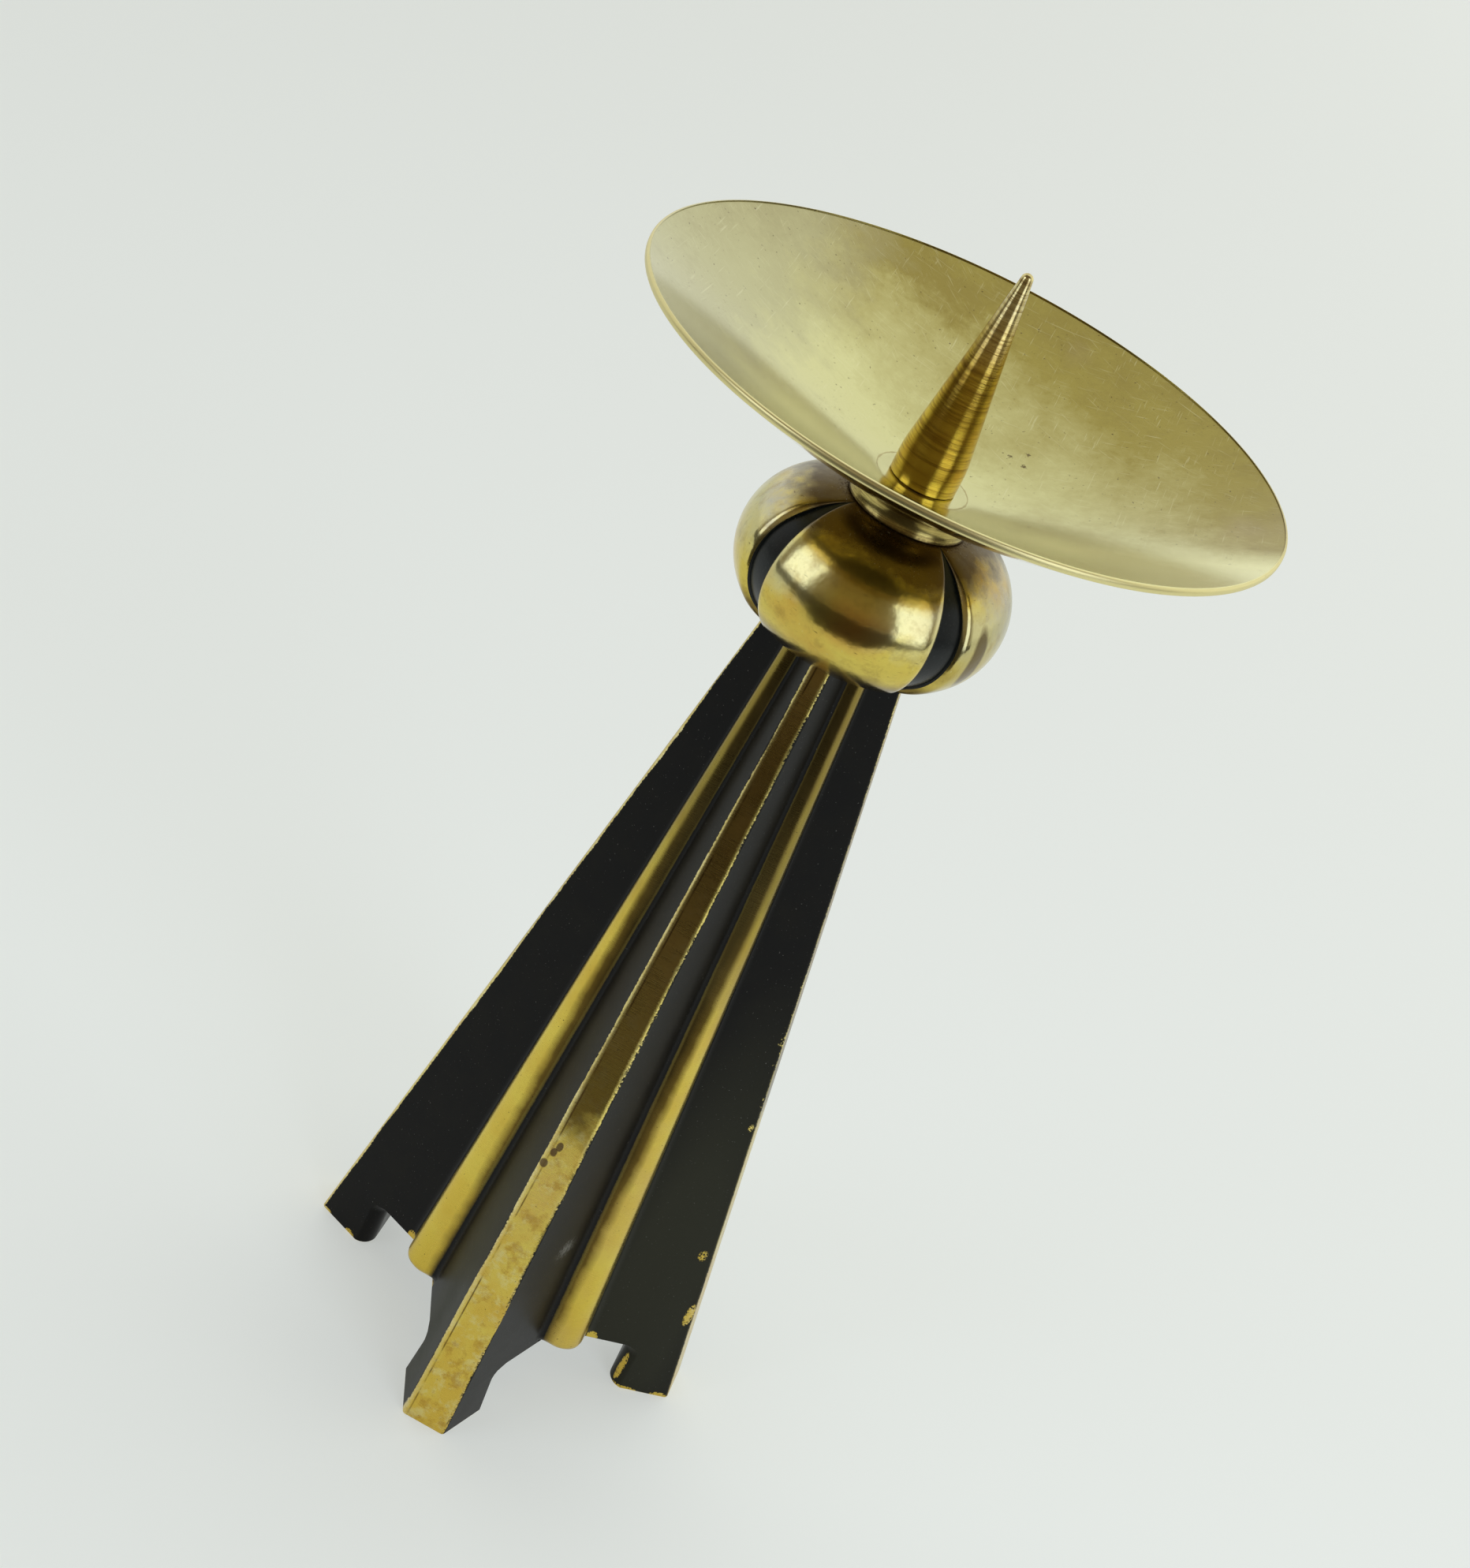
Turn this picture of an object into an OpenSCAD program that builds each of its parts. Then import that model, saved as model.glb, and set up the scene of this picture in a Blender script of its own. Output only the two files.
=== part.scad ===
// Pricket candle holder: a tapering four-finned column on four feet, with a ribbed core,
// a four-lobed knop, a collar, a round drip pan and a turned spike, held by one long rod.
// Millimetres. +Z is up, the origin is on the floor under the middle of the column,
// and one fin points along -Y.

/* [Column] */
// Height of the column, from the floor to the seat of the knop
column_h = 157.2; // [120:0.2:200]
// Radius of the fins' outer edge at the floor
fin_r_low = 37.5; // [34:0.5:45]
// Radius of the fins' outer edge at the top
fin_r_top = 11.6; // [10:0.1:16]
// Width of a fin's outer edge at the floor
fin_w_low = 8.2; // [5:0.1:12]
// Width of a fin's outer edge at the top
fin_w_top = 3; // [2:0.1:4]
// Bevel along both sides of a fin's outer edge
fin_bevel = 0.5; // [0.2:0.05:0.8]
// Half width of a fin's root at the underside of the column
root_w_low = 10.9; // [9:0.1:12]
// Half width of a fin's root at the top
root_w_top = 3.9; // [3:0.1:4.6]
// Half width of the square core at the underside of the column
core_w_low = 18.2; // [16:0.1:20]
// Half width of the square core at the top
core_w_top = 6.8; // [6.2:0.1:8]
// Radius of the rounded rib on each core corner, at the underside
rib_r_low = 3.6; // [2:0.1:5]
// Radius of the rounded rib on each core corner, at the top
rib_r_top = 1.3; // [0.6:0.1:1.8]

/* [Feet] */
// Height of the underside of the column, and of the open space between the feet
arch_h = 11.1; // [8:0.1:16]
// Distance from the middle to a foot's inner end
foot_in_r = 25.6; // [24:0.1:27]
// Radius of the foot's inner corners, seen from above
foot_round = 3; // [1.5:0.1:4]
// Radius of the fillet where a foot meets the underside
foot_fillet = 2.8; // [1:0.1:4]

/* [Knop] */
// Largest diameter of the knop
knop_d = 43.6; // [36:0.2:52]
// Height of the knop
knop_h = 24; // [18:0.5:30]
// Radius of the knop's flat seat on the column
knop_foot_r = 11; // [10:0.1:13]
// Radius of the knop's flat top under the collar
knop_top_r = 9.9; // [9.7:0.1:12]
// Roundness of the knop's side, where a larger value is more pointed
knop_power = 0.6; // [0.5:0.02:0.8]
// Width of a groove between two lobes, at the widest
groove_w = 7; // [4:0.2:9]
// Depth of a groove
groove_depth = 1.2; // [0.6:0.1:1.6]

/* [Collar] */
// Diameter of the collar's lower edge
collar_d = 19.2; // [17:0.1:19.4]
// Height of the collar
collar_h = 4; // [3:0.05:7]
// Height of the plain band at each end of the collar
collar_band = 0.9; // [0.5:0.1:1.2]
// Depth of the hollow turned round the collar
collar_cove = 0.7; // [0.3:0.1:1.2]

/* [Drip pan] */
// Diameter of the pan over its rim
pan_d = 100; // [80:1:130]
// Depth of the pan inside
pan_depth = 17.3; // [12:0.1:24]
// Thickness of the pan's sheet
pan_t = 0.9; // [0.8:0.1:1.5]
// Width of the bevel under the pan's rim
rim_bevel = 0.5; // [0.1:0.05:0.8]
// Diameter of the flat seat in the middle of the pan
pan_seat_d = 14.6; // [13:0.1:18]
// Curvature of the dish, where 1 is a plain cone
pan_power = 1.25; // [1.1:0.05:2]

/* [Spike] */
// Diameter of the spike's straight foot
spike_d = 10.4; // [9:0.1:13]
// Height of the spike above the pan's seat
spike_h = 34.2; // [28:0.2:50]
// Height of the straight foot, below the taper
spike_foot_h = 4.2; // [3:0.2:7]
// Length of the soft bend between the foot and the taper, each way
spike_bend = 1.4; // [0.6:0.2:2.4]
// Diameter of the taper at the blunt tip
spike_tip_d = 1.8; // [1:0.1:2.4]
// Height of the rounding at the tip
spike_tip_h = 0.8; // [0.4:0.1:1.2]
// Chamfer round the spike's foot
spike_chamfer = 0.15; // [0.1:0.05:0.4]

/* [Tie rod] */
// Diameter of the threaded rod
rod_d = 5; // [4:0.5:6]
// Length of the rod inside the spike
rod_grip = 11; // [8:0.5:14]
// Depth of the spike's hole past the end of the rod
rod_end_gap = 1.5; // [1:0.5:3]
// Radial clearance of the rod's thread
thread_gap = 0.05; // [0.02:0.01:0.1]
// Radial clearance of the rod in the pan, which can turn on it
turn_gap = 0.05; // [0.02:0.01:0.1]
// Radial clearance of the rod in the column, the knop and the collar
rod_gap = 0.3; // [0.2:0.05:0.6]
// Width across the flats of the nut
nut_flats = 8; // [7:0.5:10]
// Height of the nut
nut_h = 4; // [3:0.5:5]
// Diameter of the washer
washer_d = 12; // [10:0.5:14]
// Thickness of the washer
washer_t = 1.2; // [0.8:0.1:2]
// Diameter of the recess for the nut in the underside of the column
recess_d = 17; // [16:0.5:19]
// Depth of that recess
recess_h = 9; // [8:0.5:14]
// Length of the rod below the nut
rod_tail = 1.5; // [1:0.5:2]

/* [Hidden] */

// Gap between the pan and the pieces that it turns on, and under the spike
seat_gap = 0.05;
// Overrun of every cut
over = 1;
fins = 4;
quarter = 360 / fins;
round_fn = 96;

// Steps of the rounded corners, the fillets and the curved profiles
corner_steps = 6;
fillet_steps = 4;
column_steps = 8;
profile_steps = 16;
dish_steps = 18;
lobe_steps = 12;
bend_steps = 6;
tip_steps = 5;
// Width of a groove's ends, and of its floor between the slanting walls
groove_end_share = 0.06;
groove_floor_share = 0.75;
// How quickly a groove deepens from its ends
groove_ramp = 2;

// Heights of the stacked pieces
knop_z = column_h;
collar_z = knop_z + knop_h;
pan_z = collar_z + collar_h + seat_gap;
seat_z = pan_z + pan_t;
spike_z = seat_z + seat_gap;

rod_r = rod_d / 2;
thread_r = rod_r + thread_gap;
bore_r = rod_r + rod_gap;
washer_z = arch_h + recess_h - washer_t;
nut_z = washer_z - nut_h;
rod_low_z = nut_z - rod_tail;
rod_top_z = spike_z + rod_grip;

// A value that changes evenly from the floor to the top of the column
function taper(low, top, z) = low + (top - low) * z / column_h;
// A value that changes evenly from the underside to the top of the column
function body_taper(low, top, z) = low + (top - low) * (z - arch_h) / (column_h - arch_h);

// Sizes of the column's section at height z
function fin_r(z) = taper(fin_r_low, fin_r_top, z);
function edge_w(z) = taper(fin_w_low, fin_w_top, z) / 2;
function root_w(z) = body_taper(root_w_low, root_w_top, z);
function core_w(z) = body_taper(core_w_low, core_w_top, z);
function rib_r(z) = body_taper(rib_r_low, rib_r_top, z);
// Half width of a fin at distance a from the middle
function flank_w(a, z) =
    edge_w(z) + (fin_r(z) - a) * (root_w(z) - edge_w(z)) / (fin_r(z) - core_w(z));

// How far the fillet under the column reaches inwards at height z
function fillet_reach(z) =
    let (up = z - (arch_h - foot_fillet))
    up <= 0 ? 0 : foot_fillet - sqrt(max(0, foot_fillet * foot_fillet - up * up));
// Distance from the middle to a foot's inner end, and to where its corner leaves the flank
function foot_in(z) = foot_in_r - fillet_reach(z);
function foot_join(z) = foot_in(z) + foot_round;
// On the column the same line climbs the flank at a fixed share of its width
join_share = (fin_r(arch_h) - foot_join(arch_h)) / (fin_r(arch_h) - core_w_low);
function join_a(z) =
    z <= arch_h ? foot_join(z) : fin_r(z) - (fin_r(z) - core_w(z)) * join_share;

// Turns a point [sideways, outwards] of one fin to its place on the column
function placed(point, fin, z) =
    let (turn = fin * quarter)
    [point[0] * cos(turn) + point[1] * sin(turn), point[0] * sin(turn) - point[1] * cos(turn), z];

// The outer end of a fin, from its left flank to its right flank
function fin_end(z) = [
    [-flank_w(join_a(z), z), join_a(z)],
    [-flank_w(fin_r(z) - fin_bevel, z), fin_r(z) - fin_bevel],
    [fin_bevel - edge_w(z), fin_r(z)],
    [edge_w(z) - fin_bevel, fin_r(z)],
    [flank_w(fin_r(z) - fin_bevel, z), fin_r(z) - fin_bevel],
    [flank_w(join_a(z), z), join_a(z)]
];
// The core from a fin's right root, round the rib, to the next fin's left root
function core_corner(z) =
    let (middle = core_w(z) - rib_r(z))
    concat(
        [[root_w(z), core_w(z)]],
        [for (i = [0 : corner_steps]) let (turn = 90 * (1 - i / corner_steps))
            [middle + rib_r(z) * cos(turn), middle + rib_r(z) * sin(turn)]],
        [[core_w(z), root_w(z)]]
    );
// The rounded inner end of a foot, from its right flank to its left flank
function foot_end(z) =
    let (middle = flank_w(foot_join(z), z) - foot_round)
    concat(
        [for (i = [1 : corner_steps]) let (turn = -90 * i / corner_steps)
            [middle + foot_round * cos(turn), foot_join(z) + foot_round * sin(turn)]],
        [for (i = [corner_steps : -1 : 1]) let (turn = -90 * i / corner_steps)
            [-middle - foot_round * cos(turn), foot_join(z) + foot_round * sin(turn)]]
    );

end_count = len(fin_end(arch_h));
body_count = end_count + len(core_corner(arch_h));
foot_count = end_count + len(foot_end(arch_h));
ring_count = fins * body_count;
body_levels = [for (i = [0 : column_steps]) arch_h + (column_h - arch_h) * i / column_steps];
foot_levels = concat(
    [0],
    [for (i = [0 : fillet_steps - 1]) arch_h - foot_fillet * (1 - i / fillet_steps)]
);

body_points = [for (z = body_levels) for (fin = [0 : fins - 1])
    for (point = concat(fin_end(z), core_corner(z))) placed(point, fin, z)];
// Each foot has its own lower rings, and its top ring is the underside of its fin
foot_points = [for (fin = [0 : fins - 1]) for (z = foot_levels)
    for (point = concat(fin_end(z), foot_end(z))) placed(point, fin, z)];
inner_points = [for (fin = [0 : fins - 1]) for (point = foot_end(arch_h)) placed(point, fin, arch_h)];
inner_count = len(foot_end(arch_h));
foot_base = len(body_points);
inner_base = foot_base + len(foot_points);
foot_rings = len(foot_levels);

function body_point(level, i) = level * ring_count + i % ring_count;
// A point of a foot's ring, where the ring past the last one is shared with the column
function foot_point(fin, level, i) =
    let (at = i % foot_count)
    level < foot_rings ? foot_base + (fin * foot_rings + level) * foot_count + at
    : at < end_count ? fin * body_count + at
    : inner_base + fin * inner_count + at - end_count;

function split(a, b, c, d) = [[a, b, c], [a, c, d]];
function reversed(list) = [for (i = [len(list) - 1 : -1 : 0]) list[i]];

// The section at one level, as the middle between the roots, four corners and four fins
function right_root(level, fin) = body_point(level, fin * body_count + end_count);
function left_root(level, fin) = body_point(level, (fin + fins) * body_count - 1);
function section_middle(level) =
    [for (fin = [0 : fins - 1]) each [left_root(level, fin), right_root(level, fin)]];
function section_corner(level, fin) =
    [for (i = [end_count : body_count - 1]) body_point(level, fin * body_count + i)];
function section_fin(level, fin) = concat(
    [for (i = [end_count / 2 : end_count - 1]) body_point(level, fin * body_count + i)],
    [right_root(level, fin), left_root(level, fin)],
    [for (i = [0 : end_count / 2 - 1]) body_point(level, fin * body_count + i)]
);

// The underside between a fin's roots and the rounded inner end of its foot
function foot_side(fin) = concat(
    [fin * body_count],
    [for (i = [inner_count - 1 : -1 : 0]) inner_base + fin * inner_count + i],
    [fin * body_count + end_count - 1]
);
function fin_underside(fin) =
    let (side = foot_side(fin), half = inner_count / 2, left = left_root(0, fin), right = right_root(0, fin))
    concat(
        [for (i = [0 : half - 1]) [left, side[i], side[i + 1]]],
        split(left, side[half], side[half + 1], right),
        [for (i = [half + 1 : inner_count]) [right, side[i], side[i + 1]]]
    );

column_faces = concat(
    [for (level = [0 : column_steps - 1]) for (i = [0 : ring_count - 1])
        each split(
            body_point(level, i), body_point(level + 1, i),
            body_point(level + 1, i + 1), body_point(level, i + 1)
        )],
    [reversed(section_middle(column_steps)), section_middle(0)],
    [for (fin = [0 : fins - 1]) each [
        reversed(section_corner(column_steps, fin)),
        reversed(section_fin(column_steps, fin)),
        section_corner(0, fin)
    ]],
    [for (fin = [0 : fins - 1]) each fin_underside(fin)],
    [for (fin = [0 : fins - 1]) for (level = [0 : foot_rings - 1]) for (i = [0 : foot_count - 1])
        each split(
            foot_point(fin, level, i), foot_point(fin, level + 1, i),
            foot_point(fin, level + 1, i + 1), foot_point(fin, level, i + 1)
        )],
    [for (fin = [0 : fins - 1]) [for (i = [0 : foot_count - 1]) foot_point(fin, 0, i)]]
);

// The knop's side, by the angle that it has turned from the knop's middle
knop_r = knop_d / 2;
function side_angle(r) = acos(pow(r / knop_r, 1 / knop_power));
low_angle = side_angle(knop_foot_r);
high_angle = side_angle(knop_top_r);
knop_rise = knop_h / (sin(low_angle) + sin(high_angle));
knop_mid_z = knop_rise * sin(low_angle);
function knop_turn(i) = -low_angle + (low_angle + high_angle) * i / profile_steps;
function knop_side(turn) =
    [knop_r * pow(cos(turn), knop_power), knop_mid_z + knop_rise * sin(turn)];
// Half width and depth of a groove at one level, as shares of those at its middle
function groove_share(i) = max(groove_end_share, 1 - pow(2 * i / profile_steps - 1, 2));
function groove_depth_share(i) = min(1, sin(180 * i / profile_steps) * groove_ramp);
// One level of the knop: each lobe from side to side, then the floor of the groove after it
function knop_ring(i) =
    let (
        turn = knop_turn(i),
        side = knop_side(turn),
        deep = groove_depth * groove_depth_share(i),
        floor_r = side[0] - deep * cos(turn),
        floor_z = side[1] - deep * sin(turn),
        half_groove = asin(groove_share(i) * groove_w / 2 / side[0]),
        half_floor = half_groove * groove_floor_share,
        half_lobe = quarter / 2 - half_groove
    )
    [for (fin = [0 : fins - 1]) each concat(
        [for (j = [0 : lobe_steps])
            around(side[0], fin * quarter + half_lobe * (2 * j / lobe_steps - 1), side[1])],
        [for (j = [-1 : 1])
            around(floor_r, (fin + 1 / 2) * quarter + half_floor * j, floor_z)]
    )];
// A point at an angle from the front, seen from above
function around(r, turn, z) = [r * sin(turn), -r * cos(turn), z];
knop_count = len(knop_ring(0));
knop_points = concat(
    [for (i = [0 : profile_steps]) each knop_ring(i)],
    [[0, 0, 0], [0, 0, knop_h]]
);
knop_low_middle = len(knop_points) - 2;
knop_top_middle = len(knop_points) - 1;
function knop_point(i, j) = i * knop_count + j % knop_count;
knop_faces = concat(
    [for (i = [0 : profile_steps - 1]) for (j = [0 : knop_count - 1])
        each split(
            knop_point(i, j), knop_point(i + 1, j), knop_point(i + 1, j + 1), knop_point(i, j + 1)
        )],
    [for (j = [0 : knop_count - 1])
        [knop_top_middle, knop_point(profile_steps, j + 1), knop_point(profile_steps, j)]],
    [for (j = [0 : knop_count - 1]) [knop_low_middle, knop_point(0, j), knop_point(0, j + 1)]]
);

// The pan's dish: height of its inside above the seat at radius r
pan_r = pan_d / 2;
pan_seat_r = pan_seat_d / 2;
function dish_z(r) = pan_depth * pow((r - pan_seat_r) / (pan_r - pan_seat_r), pan_power);
// Sheet thickness measured upright, where the dish is steeper than at the seat
pan_lip = pan_t * sqrt(1 + pow(pan_power * pan_depth / (pan_r - pan_seat_r), 2));
function sheet_z(r) = pan_t + (pan_lip - pan_t) * (r - pan_seat_r) / (pan_r - pan_seat_r);
function under_z(r) = pan_t + dish_z(r) - sheet_z(r);
dish_radii = [for (i = [0 : dish_steps]) pan_seat_r + (pan_r - pan_seat_r) * i / dish_steps];
// The underside ends short of the rim, and a bevel climbs from there to the rim's thin edge
under_radii = [for (i = [0 : dish_steps])
    pan_seat_r + (pan_r - rim_bevel - pan_seat_r) * i / dish_steps];
rim_edge_z = under_z(pan_r) + rim_bevel;

// The spike's side, as a straight foot, a soft bend, a taper and a rounded tip
spike_r = spike_d / 2;
spike_tip_r = spike_tip_d / 2;
spike_top = spike_h - seat_gap;
taper_top = spike_top - spike_tip_h;
function spike_taper(up) =
    spike_r + (spike_tip_r - spike_r) * (up - spike_foot_h) / (taper_top - spike_foot_h);
bend_low = [spike_r, spike_foot_h - spike_bend];
bend_middle = [spike_r, spike_foot_h];
bend_high = [spike_taper(spike_foot_h + spike_bend), spike_foot_h + spike_bend];
spike_outline = concat(
    [[0, 0], [spike_r - spike_chamfer, 0], [spike_r, spike_chamfer]],
    [for (i = [0 : bend_steps]) let (t = i / bend_steps)
        bend_low * pow(1 - t, 2) + bend_middle * 2 * t * (1 - t) + bend_high * t * t],
    [for (i = [0 : tip_steps]) let (turn = 90 * i / tip_steps)
        [spike_tip_r * cos(turn), taper_top + spike_tip_h * sin(turn)]]
);

module column() {
    color("#2b2b27")
    difference() {
        polyhedron(
            points = concat(body_points, foot_points, inner_points),
            faces = column_faces
        );
        translate([0, 0, arch_h - over])
            cylinder(h = column_h - arch_h + 2 * over, r = bore_r, $fn = round_fn);
        translate([0, 0, arch_h - over])
            cylinder(h = recess_h + over, d = recess_d, $fn = round_fn);
    }
}

module knop() {
    color("#b89b4a")
    translate([0, 0, knop_z])
    difference() {
        polyhedron(points = knop_points, faces = knop_faces);
        translate([0, 0, -over])
            cylinder(h = knop_h + 2 * over, r = bore_r, $fn = round_fn);
    }
}

module collar() {
    cove_h = collar_h - 2 * collar_band;
    cove_r = (cove_h * cove_h / 4 + collar_cove * collar_cove) / (2 * collar_cove);
    color("#a88c3c")
    translate([0, 0, collar_z])
    difference() {
        cylinder(h = collar_h, d = collar_d, $fn = round_fn);
        translate([0, 0, collar_h / 2])
            rotate_extrude($fn = round_fn)
                translate([collar_d / 2 + cove_r - collar_cove, 0])
                    circle(r = cove_r, $fn = round_fn);
        translate([0, 0, -over])
            cylinder(h = collar_h + 2 * over, r = bore_r, $fn = round_fn);
    }
}

module drip_pan() {
    color("#a59a55")
    translate([0, 0, pan_z])
    difference() {
        rotate_extrude($fn = round_fn * 2)
            polygon(concat(
                [[0, 0]],
                [for (r = under_radii) [r, under_z(r)]],
                [[pan_r, rim_edge_z]],
                [for (i = [dish_steps : -1 : 0]) [dish_radii[i], pan_t + dish_z(dish_radii[i])]],
                [[0, pan_t]]
            ));
        translate([0, 0, -over])
            cylinder(h = pan_t + 2 * over, r = rod_r + turn_gap, $fn = round_fn);
    }
}

module spike() {
    hole_h = rod_grip + rod_end_gap;
    color("#b08a35")
    translate([0, 0, spike_z])
    difference() {
        rotate_extrude($fn = round_fn)
            polygon(spike_outline);
        translate([0, 0, -over])
            cylinder(h = hole_h + over, r = thread_r, $fn = round_fn);
    }
}

module tie_rod() {
    color("#8c8c86")
    translate([0, 0, rod_low_z])
        cylinder(h = rod_top_z - rod_low_z, r = rod_r, $fn = round_fn);
}

module rod_washer() {
    color("#9a9a94")
    translate([0, 0, washer_z])
    difference() {
        cylinder(h = washer_t, d = washer_d, $fn = round_fn);
        translate([0, 0, -over])
            cylinder(h = washer_t + 2 * over, r = bore_r, $fn = round_fn);
    }
}

module rod_nut() {
    color("#8e8e88")
    translate([0, 0, nut_z])
    difference() {
        cylinder(h = nut_h, r = nut_flats / sqrt(3), $fn = 6);
        translate([0, 0, -over])
            cylinder(h = nut_h + 2 * over, r = thread_r, $fn = round_fn);
    }
}

column();
knop();
collar();
drip_pan();
spike();
tie_rod();
rod_washer();
rod_nut();
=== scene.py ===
"""A pricket candle holder: the finish of its brass and black pieces, in soft studio light."""
import math

import bmesh
import bpy
from mathutils import Matrix, Vector
from mathutils.geometry import tessellate_polygon


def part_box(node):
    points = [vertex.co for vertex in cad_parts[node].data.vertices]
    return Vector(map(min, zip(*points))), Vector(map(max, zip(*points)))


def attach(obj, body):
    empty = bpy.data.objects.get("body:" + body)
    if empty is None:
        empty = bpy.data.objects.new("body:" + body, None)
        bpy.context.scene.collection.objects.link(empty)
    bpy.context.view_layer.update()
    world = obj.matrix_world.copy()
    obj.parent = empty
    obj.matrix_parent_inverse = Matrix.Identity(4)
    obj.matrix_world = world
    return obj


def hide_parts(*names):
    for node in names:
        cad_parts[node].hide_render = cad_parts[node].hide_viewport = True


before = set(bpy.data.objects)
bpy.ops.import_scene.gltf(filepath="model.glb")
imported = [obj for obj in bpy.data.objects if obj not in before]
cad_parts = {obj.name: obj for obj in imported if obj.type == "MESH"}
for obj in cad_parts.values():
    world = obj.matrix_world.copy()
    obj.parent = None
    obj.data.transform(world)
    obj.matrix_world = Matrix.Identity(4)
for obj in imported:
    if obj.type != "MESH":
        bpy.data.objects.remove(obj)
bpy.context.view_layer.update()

MM = 0.001


def node_box(name):
    """Lowest and highest corners of a node, in millimetres."""
    low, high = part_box(name)
    return Vector(low) / MM, Vector(high) / MM


# Column, in millimetres
COLUMN_H = node_box("column")[1].z
FIN_R = (node_box("column")[1].x, 11.6)     # at the floor, at the top
FIN_W = (4.1, 1.5)                          # half width of the outer edge
FIN_BEVEL = 0.5
ROOT_W = (10.9, 3.9)                        # at the underside, at the top
CORE_W = (18.2, 6.8)
RIB_R = (3.6, 1.3)
VALLEY_R = (1.3, 0.6)
ARCH_H = 11.1
ARCH_ROUND = 2.4
FOOT_IN_R = 25.6
FOOT_ROUND = 3.0
FOOT_FILLET = 2.8
FOOT_EDGE = 0.3
RECESS_R = 8.5
RECESS_H = 9.0
BORE_R = 2.8
FINS = 4
BODY_LEVELS = 24
CORNER_STEPS = 12
EDGE_STEPS = 4

# Knop
KNOP_LOW, KNOP_TOP = node_box("knop")[0].z, node_box("knop")[1].z
KNOP_R = node_box("knop")[1].x
KNOP_FOOT_R = 11.0
KNOP_TOP_R = 9.9
KNOP_POWER = 0.6
GROOVE_W = 7.0
GROOVE_DEPTH = 1.2
GROOVE_END_SHARE = 0.03                     # of its width that is left at both ends
LOBE_ROUND = 1.9
LOBE_ROUND_MOST = 0.55                      # of half the groove
LOBE_ROUND_INSIDE = 0.4                     # of the round, on the lobe's side of the edge
KNOP_SHARP = 40                             # degrees
KNOP_LEVELS = 72
LOBE_STEPS = 30
ROUND_STEPS = 5
GROOVE_STEPS = 6

# Collar, pan and spike
COLLAR_LOW, COLLAR_TOP = node_box("collar")[0].z, node_box("collar")[1].z
COLLAR_R = node_box("collar")[1].x
COLLAR_BAND = 0.2
COLLAR_COVE = 0.3
COLLAR_EDGE = 0.15
COVE_STEPS = 12
PAN_LOW, PAN_TOP = node_box("drip_pan")[0].z, node_box("drip_pan")[1].z
PAN_R = node_box("drip_pan")[1].x
PAN_T = 0.9
PAN_SEAT_R = 7.3
PAN_SEAT_BEND = 0.6
PAN_POWER = 1.25
PAN_RIM = 0.5
RIM_ROUND = 0.5
PAN_HOLE_R = 2.55
SPIKE_LOW, SPIKE_TOP = node_box("spike")[0].z, node_box("spike")[1].z
SPIKE_R = node_box("spike")[1].x
SPIKE_FOOT_H = 4.2
SPIKE_BEND = 1.4
SPIKE_TIP_R = 0.9
SPIKE_TIP_H = 0.8
SPIKE_HOLE_R = 2.55
SPIKE_HOLE_H = 12.5
SPIKE_CHAMFER = 0.2
SPIKE_TIP_TURN = 86                         # degrees
SPIKE_STEPS = 48
SPIKE_BEND_STEPS = 8
TURNED_STEPS = 192
PAN_STEPS = 56
MERGE_DISTANCE = 1e-7                       # metres


# Meshes

def between(pair, share):
    return pair[0] + (pair[1] - pair[0]) * share


def fin_r(z):
    return between(FIN_R, z / COLUMN_H)


def fin_w(z):
    return between(FIN_W, z / COLUMN_H)


def body_share(z):
    return (z - ARCH_H) / (COLUMN_H - ARCH_H)


def root_w(z):
    return between(ROOT_W, body_share(z))


def core_w(z):
    return between(CORE_W, body_share(z))


def flank_w(out, z):
    """Half width of a fin at a distance from the middle."""
    return fin_w(z) + (fin_r(z) - out) * (root_w(z) - fin_w(z)) / (fin_r(z) - core_w(z))


def foot_join(z):
    """Where a foot's rounded inner end leaves the flank. The fillet draws it in at the top."""
    rise = max(0.0, z - (ARCH_H - FOOT_FILLET))
    reach = FOOT_FILLET - math.sqrt(max(0.0, FOOT_FILLET ** 2 - rise ** 2))
    return FOOT_IN_R - reach + FOOT_ROUND


def join_out(z):
    if z <= ARCH_H:
        return foot_join(z)
    share = (fin_r(ARCH_H) - foot_join(ARCH_H)) / (fin_r(ARCH_H) - CORE_W[0])
    return fin_r(z) - (fin_r(z) - core_w(z)) * share


def bend(start, corner, end, steps):
    """Points of a smooth bend that leaves start and meets end along the sides of the corner."""
    points = []
    for i in range(steps + 1):
        t = i / steps
        points.append(tuple(
            (1 - t) ** 2 * a + 2 * t * (1 - t) * c + t ** 2 * b
            for a, c, b in zip(start, corner, end)
        ))
    return points


def mirrored(points):
    return [(-side, out) for side, out in reversed(points)]


def fin_end(z):
    """The outer end of a fin as (sideways, outwards), from its left flank to its right flank."""
    width, out, bevel_out = fin_w(z), fin_r(z), fin_r(z) - FIN_BEVEL
    bevel_end = (flank_w(bevel_out, z), bevel_out)
    right = bend((width - FIN_BEVEL, out), (width, out), bevel_end, EDGE_STEPS)
    right.append((flank_w(join_out(z), z), join_out(z)))
    return mirrored(right) + right


def valley(z, inset):
    """The small hollow between a fin's flank and the flat of the core."""
    radius = between(VALLEY_R, max(0.0, body_share(z)))
    core = core_w(z) - inset
    root = root_w(z)
    up_flank = core + radius
    return bend((flank_w(up_flank, z), up_flank), (root, core), (root + radius, core), EDGE_STEPS)


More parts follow.
